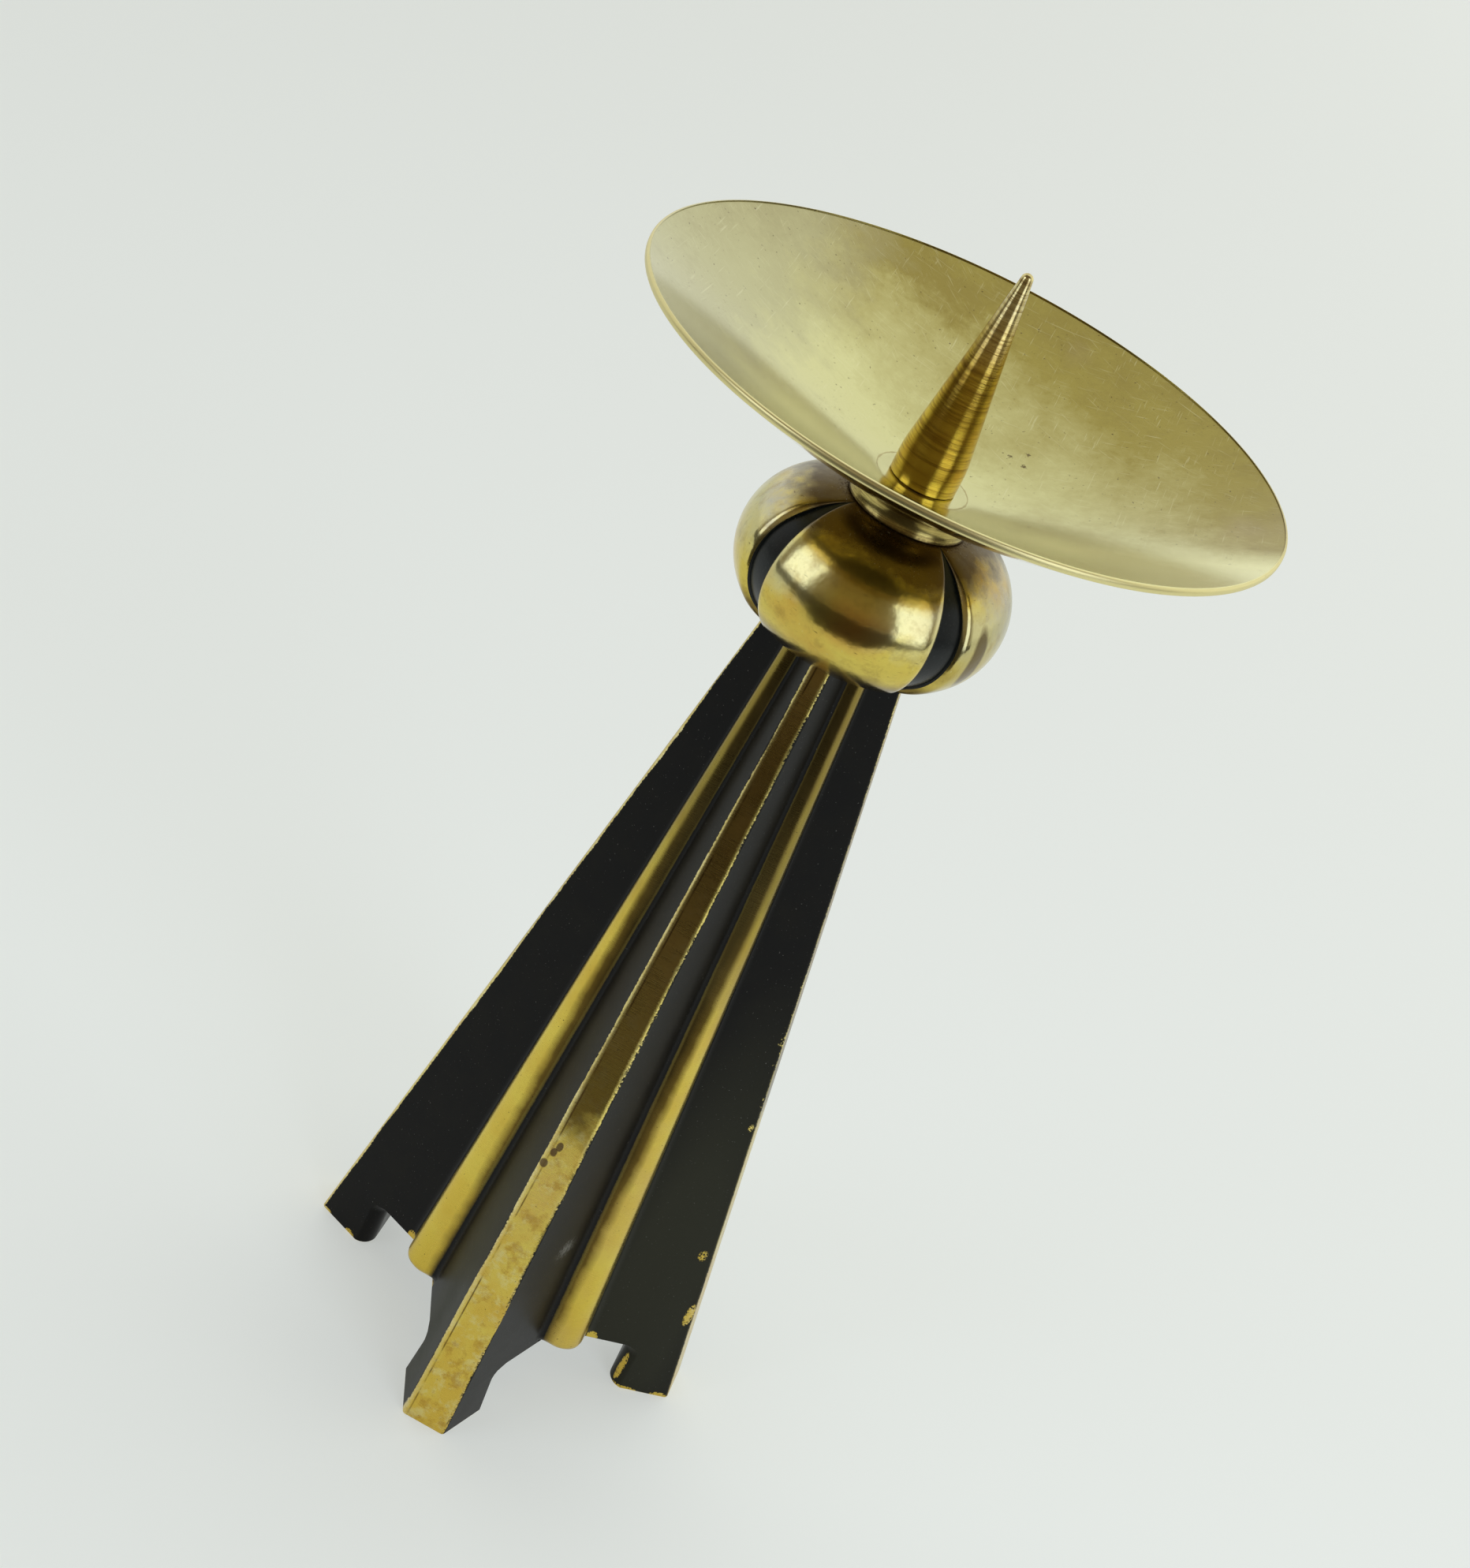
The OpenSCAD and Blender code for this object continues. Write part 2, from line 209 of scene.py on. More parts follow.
def core_corner(z, inset):
    """From a fin's right root, round the rib, to the next fin's left root."""
    right = valley(z, inset)
    radius = between(RIB_R, body_share(z))
    middle = core_w(z) - inset - radius
    crown = []
    for i in range(CORNER_STEPS + 1):
        turn = math.pi / 2 * (1 - i / CORNER_STEPS)
        crown.append((middle + radius * math.cos(turn), middle + radius * math.sin(turn)))
    left = [(out, side) for side, out in reversed(right)]
    return right + crown + left


def foot_end(z):
    """The rounded inner end of a foot, from its right flank to its left flank."""
    out = foot_join(z)
    middle = flank_w(out, z) - FOOT_ROUND
    right = []
    for i in range(1, CORNER_STEPS + 1):
        turn = -math.pi / 2 * i / CORNER_STEPS
        right.append((middle + FOOT_ROUND * math.cos(turn), out + FOOT_ROUND * math.sin(turn)))
    return right + mirrored(right)


def drawn_in(points, inset):
    """A foot's outline, drawn in by a small amount all round."""
    low = Vector((min(p[0] for p in points), min(p[1] for p in points)))
    high = Vector((max(p[0] for p in points), max(p[1] for p in points)))
    middle, half = (low + high) / 2, (high - low) / 2
    return [
        tuple(middle[i] + (p[i] - middle[i]) * (1 - inset / half[i]) for i in (0, 1))
        for p in points
    ]


def placed(point, fin, z):
    """A point of one fin at its place on the column."""
    turn = fin * 2 * math.pi / FINS
    cos, sin = math.cos(turn), math.sin(turn)
    side, out = point
    return Vector((side * cos + out * sin, side * sin - out * cos, z))


def ring(bm, points):
    return [bm.verts.new(Vector(p) * MM) for p in points]


def circle(radius, z, steps=TURNED_STEPS // 2):
    return [
        (radius * math.cos(2 * math.pi * i / steps), radius * math.sin(2 * math.pi * i / steps), z)
        for i in range(steps)
    ]


def skin(bm, low, high, slot=None):
    """Faces between two rings of as many points."""
    faces = []
    for i in range(len(low)):
        j = (i + 1) % len(low)
        face = bm.faces.new((low[i], low[j], high[j], high[i]))
        if slot is not None:
            face.material_index = slot(i)
        faces.append(face)
    return faces


def floor_with_hole(bm, outer, hole):
    """Flat faces between an outline and a hole in it."""
    verts = outer + hole
    for a, b, c in tessellate_polygon([[v.co for v in outer], [v.co for v in hole]]):
        bm.faces.new((verts[a], verts[b], verts[c]))


def new_object(name, data):
    thing = bpy.data.objects.new(name, data)
    bpy.context.scene.collection.objects.link(thing)
    return thing


def new_piece(name, bm, materials, body, node, sharp_degrees=32):
    """A finished mesh that stands for a node and moves with its body."""
    bmesh.ops.remove_doubles(bm, verts=bm.verts, dist=MERGE_DISTANCE)
    bmesh.ops.recalc_face_normals(bm, faces=bm.faces)
    mesh = bpy.data.meshes.new(name)
    bm.to_mesh(mesh)
    bm.free()
    for face in mesh.polygons:
        face.use_smooth = True
    mesh.set_sharp_from_angle(angle=math.radians(sharp_degrees))
    piece = new_object(name, mesh)
    for material in materials:
        mesh.materials.append(material)
    weighted = piece.modifiers.new("even_flats", "WEIGHTED_NORMAL")
    weighted.keep_sharp = True
    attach(piece, body)
    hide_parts(node)


def column_mesh():
    bm = bmesh.new()
    rounding = [(1 - math.sin(math.pi / 2 * (1 - i / EDGE_STEPS))) for i in range(EDGE_STEPS)]
    insets = [(1 - math.cos(math.pi / 2 * (1 - i / EDGE_STEPS))) for i in range(EDGE_STEPS)]
    levels = [
        (ARCH_H + ARCH_ROUND * up, ARCH_ROUND * inset) for up, inset in zip(rounding, insets)
    ]
    first = ARCH_H + ARCH_ROUND
    levels += [(first + (COLUMN_H - first) * i / BODY_LEVELS, 0.0) for i in range(BODY_LEVELS + 1)]
    rings = []
    for z, inset in levels:
        section = fin_end(z) + core_corner(z, inset)
        rings.append(ring(bm, [placed(p, fin, z) for fin in range(FINS) for p in section]))
    for low, high in zip(rings, rings[1:]):
        skin(bm, low, high)
    end_count, section_count = len(fin_end(ARCH_H)), len(rings[0]) // FINS
    under = []
    for fin in range(FINS):
        section = rings[0][fin * section_count:(fin + 1) * section_count]
        end, corner = section[:end_count], section[end_count:]
        inner = foot_mesh(bm, fin, end)
        under += [end[0]] + inner[::-1] + [end[-1]] + corner
    recess_low = ring(bm, circle(RECESS_R, ARCH_H))
    recess_top = ring(bm, circle(RECESS_R, ARCH_H + RECESS_H))
    bore_low = ring(bm, circle(BORE_R, ARCH_H + RECESS_H))
    bore_top = ring(bm, circle(BORE_R, COLUMN_H))
    floor_with_hole(bm, under, recess_low)
    skin(bm, recess_low, recess_top)
    skin(bm, recess_top, bore_low)
    skin(bm, bore_low, bore_top)
    floor_with_hole(bm, rings[-1], bore_top)
    return bm


def foot_mesh(bm, fin, end):
    """One foot below the column. Returns the points where its inner end meets the underside."""
    fillet_levels = [ARCH_H - FOOT_FILLET * (1 - i / EDGE_STEPS) for i in range(EDGE_STEPS)]
    levels = [(0.0, FOOT_EDGE), (FOOT_EDGE / 3, FOOT_EDGE / 3), (FOOT_EDGE, 0.0)]
    levels += [(z, 0.0) for z in fillet_levels]
    rings = []
    for z, inset in levels:
        outline = drawn_in(fin_end(z) + foot_end(z), inset)
        rings.append(ring(bm, [placed(p, fin, z) for p in outline]))
    inner = ring(bm, [placed(p, fin, ARCH_H) for p in foot_end(ARCH_H)])
    rings.append(end + inner)
    for low, high in zip(rings, rings[1:]):
        skin(bm, low, high)
    bm.faces.new(rings[0][::-1])
    return inner


def knop_profile(i):
    """Radius, height and turn of one level of the knop."""
    low = math.acos((KNOP_FOOT_R / KNOP_R) ** (1 / KNOP_POWER))
    high = math.acos((KNOP_TOP_R / KNOP_R) ** (1 / KNOP_POWER))
    rise = (KNOP_TOP - KNOP_LOW) / (math.sin(low) + math.sin(high))
    turn = -low + (low + high) * i / KNOP_LEVELS
    radius = KNOP_R * math.cos(turn) ** KNOP_POWER
    return radius, KNOP_LOW + rise * (math.sin(low) + math.sin(turn)), turn


def knop_ring_points(i):
    """One level of the knop: each lobe with its rounded sides, then the hollow after it."""
    radius, z, turn = knop_profile(i)
    share = i / KNOP_LEVELS
    depth = GROOVE_DEPTH * min(1.0, 2 * math.sin(math.pi * share))
    open_share = max(GROOVE_END_SHARE, 1 - (2 * share - 1) ** 2)
    half_groove = math.asin(open_share * GROOVE_W / 2 / radius)
    half_lobe = math.pi / FINS - half_groove
    reach = min(LOBE_ROUND / radius, half_groove * LOBE_ROUND_MOST)
    points = []

    def add(angle, sunk):
        r, up = radius - sunk * math.cos(turn), z - sunk * math.sin(turn)
        points.append((r * math.sin(angle), -r * math.cos(angle), up))

    for fin in range(FINS):
        middle = fin * 2 * math.pi / FINS
        for j in range(LOBE_STEPS + 1):
            add(middle + (half_lobe - reach * LOBE_ROUND_INSIDE) * (2 * j / LOBE_STEPS - 1), 0.0)
        side = []
        for j in range(1, ROUND_STEPS + 1):
            fall = math.pi / 2 * j / ROUND_STEPS
            out = reach * (math.sin(fall) - LOBE_ROUND_INSIDE)
            side.append((out, depth * (1 - math.cos(fall))))
        for out, sunk in side:
            add(middle + half_lobe + out, sunk)
        half_floor = half_groove - side[-1][0]
        valley_middle = middle + math.pi / FINS
        for j in range(1, GROOVE_STEPS):
            add(valley_middle + half_floor * (2 * j / GROOVE_STEPS - 1), depth)
        after = middle + 2 * math.pi / FINS
        for out, sunk in reversed(side):
            add(after - half_lobe - out, sunk)
    return points


def knop_mesh():
    """Brass lobes in slot 0, black grooves in slot 1."""
    bm = bmesh.new()
    rings = [ring(bm, knop_ring_points(i)) for i in range(KNOP_LEVELS + 1)]
    per_fin = len(rings[0]) // FINS
    first_dark, last_dark = LOBE_STEPS + ROUND_STEPS - 1, per_fin - ROUND_STEPS

    def slot(i):
        return 1 if first_dark <= i % per_fin <= last_dark else 0

    for low, high in zip(rings, rings[1:]):
        skin(bm, low, high, slot)
    hole_low = ring(bm, circle(BORE_R, KNOP_LOW))
    hole_top = ring(bm, circle(BORE_R, KNOP_TOP))
    floor_with_hole(bm, rings[0], hole_low)
    floor_with_hole(bm, rings[-1], hole_top)
    skin(bm, hole_low, hole_top)
    return bm


def turned(profile, steps=TURNED_STEPS, slots=None):
    """A closed outline of (radius, height) turned round the upright axis."""
    bm = bmesh.new()
    rings = [ring(bm, circle(r, z, steps)) for r, z in profile]
    for i, (low, high) in enumerate(zip(rings, rings[1:] + rings[:1])):
        for face in skin(bm, low, high):
            face.material_index = slots[i] if slots else 0
    return bm


def collar_profile():
    height = COLLAR_TOP - COLLAR_LOW
    cove = []
    for i in range(COVE_STEPS + 1):
        share = i / COVE_STEPS
        cove.append((
            COLLAR_R - COLLAR_COVE * math.sin(math.pi * share),
            COLLAR_LOW + COLLAR_BAND + (height - 2 * COLLAR_BAND) * share,
        ))
    edge = COLLAR_EDGE
    return (
        [(BORE_R, COLLAR_LOW), (COLLAR_R - edge, COLLAR_LOW), (COLLAR_R, COLLAR_LOW + edge)]
        + cove
        + [(COLLAR_R, COLLAR_TOP - edge), (COLLAR_R - edge, COLLAR_TOP), (BORE_R, COLLAR_TOP)]
    )


def collar_mesh():
    return turned(collar_profile())


def dish_z(radius):
    """Height of the pan's inside at a radius."""
    share = max(0.0, (radius - PAN_SEAT_R) / (PAN_R - PAN_SEAT_R))
    return PAN_LOW + PAN_T + (PAN_TOP - PAN_LOW - PAN_T) * share ** PAN_POWER


def pan_mesh():
    """The inside and the rim in slot 0, the underside in slot 1."""
    profile = pan_profile()
    slots = [1 if i <= PAN_STEPS else 0 for i in range(len(profile))]
    return turned(profile, TURNED_STEPS * 2, slots)


def pan_profile():
    """From the hole out along the underside, round the rim and back along the inside."""
    slope = PAN_POWER * (PAN_TOP - PAN_LOW - PAN_T) / (PAN_R - PAN_SEAT_R)
    upright = PAN_T * math.sqrt(1 + slope ** 2)
    reach = PAN_R - PAN_RIM - PAN_SEAT_R

    def sheet(radius):
        return PAN_T + (upright - PAN_T) * (radius - PAN_SEAT_R) / (PAN_R - PAN_SEAT_R)

    under = [PAN_SEAT_R + reach * i / PAN_STEPS for i in range(PAN_STEPS + 1)]
    lip_low = (PAN_R - PAN_RIM, dish_z(PAN_R - PAN_RIM) - sheet(PAN_R - PAN_RIM))
    lip_out = (PAN_R, lip_low[1] + PAN_RIM)
    lip_top = (PAN_R - RIM_ROUND, PAN_TOP)
    lip = bend(lip_low, (PAN_R, lip_low[1] + PAN_RIM / 3), lip_out, EDGE_STEPS)
    lip += bend((PAN_R, PAN_TOP - RIM_ROUND), (PAN_R, PAN_TOP), lip_top, EDGE_STEPS)
    inside = [(r, dish_z(r)) for r in reversed(under[1:])]
    seat_z = PAN_LOW + PAN_T
    seat_out = PAN_SEAT_R + reach / PAN_STEPS
    seat_in = PAN_SEAT_R - PAN_SEAT_BEND
    floor = bend(
        (seat_out, dish_z(seat_out)), (PAN_SEAT_R, seat_z), (seat_in, seat_z), EDGE_STEPS)
    return (
        [(PAN_HOLE_R, PAN_LOW), (PAN_SEAT_R, PAN_LOW)]
        + [(r, dish_z(r) - sheet(r)) for r in under[1:-1]]
        + lip + inside[:-1] + floor + [(PAN_HOLE_R, seat_z)]
    )


def spike_profile():
    """From the foot up: a straight foot, a soft bend, a taper and a rounded tip."""
    top = SPIKE_TOP - SPIKE_LOW
    taper_top = top - SPIKE_TIP_H

    def taper(up):
        share = (up - SPIKE_FOOT_H) / (taper_top - SPIKE_FOOT_H)
        return (SPIKE_R + (SPIKE_TIP_R - SPIKE_R) * share, up)

    foot = [(SPIKE_R - SPIKE_CHAMFER, 0.0), (SPIKE_R, SPIKE_CHAMFER)]
    low, high = SPIKE_FOOT_H - SPIKE_BEND, SPIKE_FOOT_H + SPIKE_BEND
    shoulder = bend((SPIKE_R, low), (SPIKE_R, SPIKE_FOOT_H), taper(high), SPIKE_BEND_STEPS)
    side = [taper(high + (taper_top - high) * i / SPIKE_STEPS) for i in range(1, SPIKE_STEPS)]
    tip = []
    for i in range(SPIKE_BEND_STEPS + 1):
        turn = math.radians(SPIKE_TIP_TURN) * i / SPIKE_BEND_STEPS
        tip.append((SPIKE_TIP_R * math.cos(turn), taper_top + SPIKE_TIP_H * math.sin(turn)))
    tip[-1] = (tip[-1][0], top)
    return [(r, SPIKE_LOW + up) for r, up in foot + shoulder + side + tip]


def spike_mesh():
    bm = bmesh.new()
    rings = [ring(bm, circle(r, z, TURNED_STEPS)) for r, z in spike_profile()]
    for low, high in zip(rings, rings[1:]):
        skin(bm, low, high)
    bm.faces.new(rings[-1])
    hole_low = ring(bm, circle(SPIKE_HOLE_R, SPIKE_LOW, TURNED_STEPS))
    hole_top = ring(bm, circle(SPIKE_HOLE_R, SPIKE_LOW + SPIKE_HOLE_H, TURNED_STEPS))
    skin(bm, rings[0], hole_low)
    skin(bm, hole_low, hole_top)
    bm.faces.new(hole_top)
    return bm


# Finishes

class Value:
    """A number that varies over a surface. Sums and products of it add Math nodes."""

    def __init__(self, finish, socket):
        self.finish, self.socket = finish, socket

    def math(self, operation, first, second=None):
        inputs = {0: first} if second is None else {0: first, 1: second}
        return self.finish.node("ShaderNodeMath", {"operation": operation}, inputs)

    def __add__(self, other):
        return self.math("ADD", self, other)

    def __sub__(self, other):
        return self.math("SUBTRACT", self, other)

    def __rsub__(self, other):
        return self.math("SUBTRACT", other, self)

    def __mul__(self, other):
        return self.math("MULTIPLY", self, other)

    def __truediv__(self, other):
        return self.math("DIVIDE", self, other)

    def __pow__(self, other):
        return self.math("POWER", self, other)

    def __abs__(self):
        return self.math("ABSOLUTE", self)

    __radd__ = __add__
    __rmul__ = __mul__

    def above(self, other):
        return self.math("MAXIMUM", self, other)

    def below(self, other):
        return self.math("MINIMUM", self, other)

    def held(self):
        """The value, kept between 0 and 1."""
        return self.above(0.0).below(1.0)

    def rising(self, start, steepness):
        """0 up to start, and from there up to 1 by steepness for each unit."""
        return ((self - start) * steepness).held()

    def falling(self, end, steepness):
        """0 above end, and below it up to 1 by steepness for each unit."""
        return ((end - self) * steepness).held()


class Finish:
    """One material, or the world, as a tree of nodes."""

    def __init__(self, tree):
        self.tree = tree
        self.tree.nodes.clear()

    def node(self, kind, settings=None, inputs=None, output=0):
        node = self.tree.nodes.new(kind)
        for name, value in (settings or {}).items():
            setattr(node, name, value)
        for name, value in (inputs or {}).items():
            if isinstance(value, Value):
                self.tree.links.new(value.socket, node.inputs[name])
            else:
                node.inputs[name].default_value = value
        return Value(self, node.outputs[output]) if len(node.outputs) else None

    def place(self):
        return self.node("ShaderNodeTexCoord", output="Object")

    def axes(self, vector, names="XYZ"):
        outputs = self.node("ShaderNodeSeparateXYZ", inputs={0: vector}).socket.node.outputs
        return [Value(self, outputs[name]) for name in names]

    def axes_mm(self, place, names="XYZ"):
        return [axis / MM for axis in self.axes(place, names)]

    def stretched(self, vector, scale):
        return self.node("ShaderNodeVectorMath", {"operation": "MULTIPLY"}, {0: vector, 1: scale})

    def noise(self, vector, size_mm, detail, rough):
        """Noise between 0 and 1 whose features are about size_mm across."""
        inputs = {
            "Vector": vector, "Scale": 1 / (size_mm * MM), "Detail": detail, "Roughness": rough,
        }
        return self.node("ShaderNodeTexNoise", {}, inputs, "Fac")

    def mix(self, share, first, second):
        """Colour first where share is 0 and second where it is 1."""
        inputs = {"Factor": share, 6: self.opaque(first), 7: self.opaque(second)}
        settings = {"data_type": "RGBA", "clamp_factor": True}
        return self.node("ShaderNodeMix", settings, inputs, 2)

    def layers(self, colour, layers):
        """The colour under layers of (share, colour), the last one on top."""
        for share, layer in layers:
            colour = self.mix(share, colour, layer)
        return colour

    @staticmethod
    def opaque(colour):
        return colour if isinstance(colour, Value) else (*colour, 1.0)

    def spot(self, place, middle, size):
        """1 in the middle of a rounded patch and 0 at its border, from places in millimetres."""
        middle, scale = [c * MM for c in middle], [1 / (s * MM) for s in size]
        away = self.node("ShaderNodeVectorMath", {"operation": "SUBTRACT"}, {0: place, 1: middle})
        away = self.stretched(away, scale)
        return 1.0 - self.node("ShaderNodeVectorMath", {"operation": "LENGTH"}, {0: away}, "Value")

    def shader(self, bump=None, bump_mm=0.0, **inputs):
        """The finished surface. The bump is a height from 0 to 1, and 1 is bump_mm."""
        values = {name.replace("_", " "): value for name, value in inputs.items()}
        if bump is not None:
            height = {"Strength": 1.0, "Distance": bump_mm * MM, "Height": bump}
            values["Normal"] = self.node("ShaderNodeBump", {}, height, "Normal")
        surface = self.node("ShaderNodeBsdfPrincipled", {}, values, "BSDF")
        self.node("ShaderNodeOutputMaterial", {}, {"Surface": surface})


def new_finish(name):
    material = bpy.data.materials.new(name)
    material.use_nodes = True
    return material, Finish(material.node_tree)


# Colours of the metal, clean and tarnished
GOLD = (0.68, 0.54, 0.11)
RED_GOLD = (0.60, 0.38, 0.07)
PALE_BRASS = (0.70, 0.63, 0.27)
OLD_BRASS = (0.33, 0.245, 0.06)
BROWN = (0.075, 0.038, 0.012)
DUST = (0.34, 0.34, 0.31)
METAL = 0.98                                 # how metallic the brass is

# Column: the black patina, the front face, the ribs and the edges
BLACK = (0.005, 0.0048, 0.0045)
BLACK_OLIVE = (0.0095, 0.0088, 0.006)
DULLED = (0.033, 0.034, 0.021)
FACE_LOW = (0.64, 0.43, 0.055)
FACE_BLUSH = (0.60, 0.37, 0.15)
FACE_SMOKY = (0.40, 0.22, 0.035)
# Painted dark reflection on the upper front faces: dark brown, and lighter again higher up:
FACE_DARK_REFLECTION = (0.115, 0.072, 0.015)
FACE_DARK_REFLECTION_HIGH = (0.25, 0.155, 0.042)
FACE_DARK_REFLECTION_TOP = (0.42, 0.27, 0.075)
FACE_STAIN = (0.085, 0.048, 0.032)
RIB_GOLD = (0.78, 0.61, 0.085)
RIB_ROSE = (0.50, 0.33, 0.17)
# Painted shade on the rounded side of the ribs towards the front fin, brown, then near black:
RIB_PAINTED_SHADE = (0.125, 0.075, 0.016)
RIB_PAINTED_DEEP_SHADE = (0.022, 0.015, 0.006)
RIB_DARKER_TOP = (0.15, 0.11, 0.035)
RIB_SIDE = (0.16, 0.12, 0.04)
# Painted highlight along the right edges of the fins, then pale bevels, partly wear and partly
# painted highlight:
EDGE_PAINTED_HIGHLIGHT = (0.92, 0.76, 0.22)
WORN_EDGE_AND_HIGHLIGHT = (0.88, 0.80, 0.46)

# Knop
# Painted highlight: paler brass where the lamps' highlights fall on the lobes:
KNOP_HIGHLIGHT_PALE = (0.66, 0.625, 0.34)
KNOP_RED = (0.55, 0.20, 0.04)
KNOP_GREEN = (0.42, 0.45, 0.12)
FILM = (0.47, 0.465, 0.44)
KNOP_SHADED = (0.26, 0.22, 0.12)
KNOP_DIM = (0.30, 0.20, 0.045)
KNOP_TICKS = (0.67, 0.64, 0.315)
# Painted dark reflection on the right lobe beside its groove:
BESIDE_GROOVE_REFLECTION = (0.10, 0.058, 0.015)
# Painted dark reflection under the pan, on the top of the knop:
KNOP_DARK_REFLECTION = (0.085, 0.050, 0.014)
KNOP_FOOT = (0.13, 0.08, 0.022)
GROOVE_SHEEN = (0.006, 0.011, 0.011)

# Pan, collar, spike and steel
PAN_CLEAN = (0.67, 0.64, 0.315)
PAN_OLIVE = (0.355, 0.288, 0.073)
PAN_BROWN = (0.27, 0.205, 0.055)
PAN_ROSE = (0.50, 0.40, 0.30)
# Darker towards the left of the pan's inside:
PAN_DARKER_LEFT = (0.46, 0.43, 0.25)
# Painted light on the near right of the pan's inside:
PAN_PAINTED_LIGHT = (0.90, 0.87, 0.46)
PAN_SCRATCH = (0.86, 0.83, 0.55)
PAN_EDGE = (0.78, 0.68, 0.31)
UNDERSIDE = ((0.64, 0.52, 0.17), (0.50, 0.38, 0.10))
COLLAR_BRASS = ((0.56, 0.46, 0.15), (0.36, 0.265, 0.075), BROWN)
SPIKE_BRASS = ((0.80, 0.60, 0.11), (0.62, 0.38, 0.06), (0.27, 0.145, 0.025))
PALE_TIP = (0.74, 0.67, 0.36)
STEEL = ((0.56, 0.56, 0.53), (0.40, 0.39, 0.35))

# Places of wear, stains, dust and one painted dark reflection, each with its middle and its size
# in millimetres.
# Worn through to the brass:
WORN_SPOTS = [
    ((27.0, -6.3, 4.0), (0.7, 1.4, 4.4)),        # inner corner of the right foot
    ((29.5, -7.6, 0.0), (3.6, 2.0, 0.9)),
    ((36.0, -5.0, 0.0), (2.2, 2.2, 1.2)),
    ((33.3, -4.6, 22.0), (1.0, 1.4, 3.4)),       # outer edge of the right fin
    ((30.3, -5.2, 36.5), (1.6, 1.4, 2.4)),
    ((25.9, -4.2, 67.0), (0.8, 1.2, 1.5)),
    ((-30.2, -6.6, 0.0), (1.3, 1.6, 1.1)),       # left foot
    ((-36.4, -5.0, 0.0), (1.4, 1.6, 0.8)),
    ((19.2, -10.6, 11.3), (1.3, 1.2, 1.5)),      # roots of the side fins
    ((-18.9, -10.8, 11.3), (1.2, 1.2, 1.5)),
    ((-11.5, -18.0, 11.2), (1.2, 1.2, 0.9)),
    ((-4.2, -37.2, 1.6), (0.9, 1.2, 2.6)),       # front foot
]
# Dark stains on the bare brass of the front fin:
STAINS = [
    ((-1.75, -27.3, 61.9), (0.62, 2.5, 0.95)),
    ((-1.25, -27.1, 63.3), (0.62, 2.5, 1.05)),
    ((-2.45, -27.7, 59.2), (0.75, 2.5, 1.0)),
]
BLUSH_SPOT = ((0.0, -28.5, 55.0), (7.0, 7.0, 13.0))
DULLED_SPOTS = [
    ((26.0, -8.0, 24.0), (18.0, 12.0, 92.0)),    # flank of the right fin
    ((-6.0, -27.0, 12.0), (5.0, 12.0, 60.0)),    # flank of the front fin
]
DUSTY_STREAK = [
    ((7.2, -20.5, 38.0), (2.2, 5.0, 4.0)),
    ((7.2, -19.5, 24.5), (1.2, 4.0, 1.6)),
]
KNOP_RED_SPOT = ((2.0, -21.0, KNOP_LOW + 13.0), (6.5, 6.0, 4.5))
KNOP_GREEN_SPOT = ((-4.0, -21.0, KNOP_LOW + 13.5), (4.0, 6.0, 4.5))
# Painted dark reflection on the right lobe, beside its groove:
GROOVE_SIDE_REFLECTION_SPOT = ((19.3, -9.8, KNOP_LOW + 12.0), (1.9, 1.9, 10.0))
PAN_FAR_SPOT = ((-13.0, 41.0, 200.0), (16.0, 9.0, 14.0))
# Pits in the pan, with a radius each:
PAN_PITS = [((9.5, 16.4, 189.6), 0.75), ((11.8, 18.0, 190.5), 0.65), ((12.1, 15.0, 189.7), 0.9)]

# Heights on the column, in millimetres, where its finish changes and where its painted dark
# reflection and painted highlight begin
FLAKED_EDGE_Z, FLAKED_EDGE_H = 86.0, 22.0
# Heights of the painted dark reflection on the front faces:
FACE_DARK_REFLECTION_Z = 65.0
FACE_DARK_REFLECTION_HIGH_Z = 78.0
FACE_DARK_REFLECTION_TOP_Z = 138.0
# Where the painted highlight along the right edges begins:
EDGE_PAINTED_HIGHLIGHT_Z = 52.0
RIB_DARKER_TOP_Z, RIB_DARKER_TOP_H = 95.0, 30.0

# Dirt on the knop round the collar, and heights of the turned pieces
DIRT_REACH = 3.0
DIRT_H = 4.0
COLLAR_DIRT_TOP = COLLAR_LOW + 0.7
SPIKE_PALE_FROM = SPIKE_LOW + 19.0

# Noise as (size in millimetres, detail, roughness), and how it is stretched along x, y and z
GRAIN = (0.8, 5.0, 0.65)
TOOLED, ALONG_FINS = (0.45, 3.0, 0.6), (0.12, 0.12, 3.2)
CROSSED, ACROSS_FINS = (0.35, 2.0, 0.5), (1.0, 0.3, 0.12)
TICKS, UPRIGHT_TICKS = (0.4, 2.0, 0.5), (1.6, 1.6, 0.3)
NICKS, LEVEL_NICKS = (0.5, 3.0, 0.6), (0.22, 0.5, 1.9)
LATHE_LINES = (0.03, 0.03, 1.0)
DRAWN_LINES = (0.05, 0.05, 1.0)
SCRATCH_SLANT = 0.6                          # radians


def handled_brass(finish, place, grain, stain_mm):
    """Colour, cloudiness and height of brass worn by handling: tarnish, small pits and fine
    scratches.
    """
    clouds = finish.noise(place, stain_mm, 4.0, 0.6)
    cloudy = clouds.rising(0.42, 3.2)
    pitted = finish.noise(place, 0.33, 2.0, 0.5).rising(0.70, 14.0) * clouds.rising(0.35, 4.0)
    colour = finish.layers(GOLD, [
        (cloudy, RED_GOLD),
        (grain.rising(0.55, 3.0) * 0.45, OLD_BRASS),
        (pitted * 0.85, BROWN),
    ])
    return colour, cloudy, grain * 0.35 - pitted * 0.8


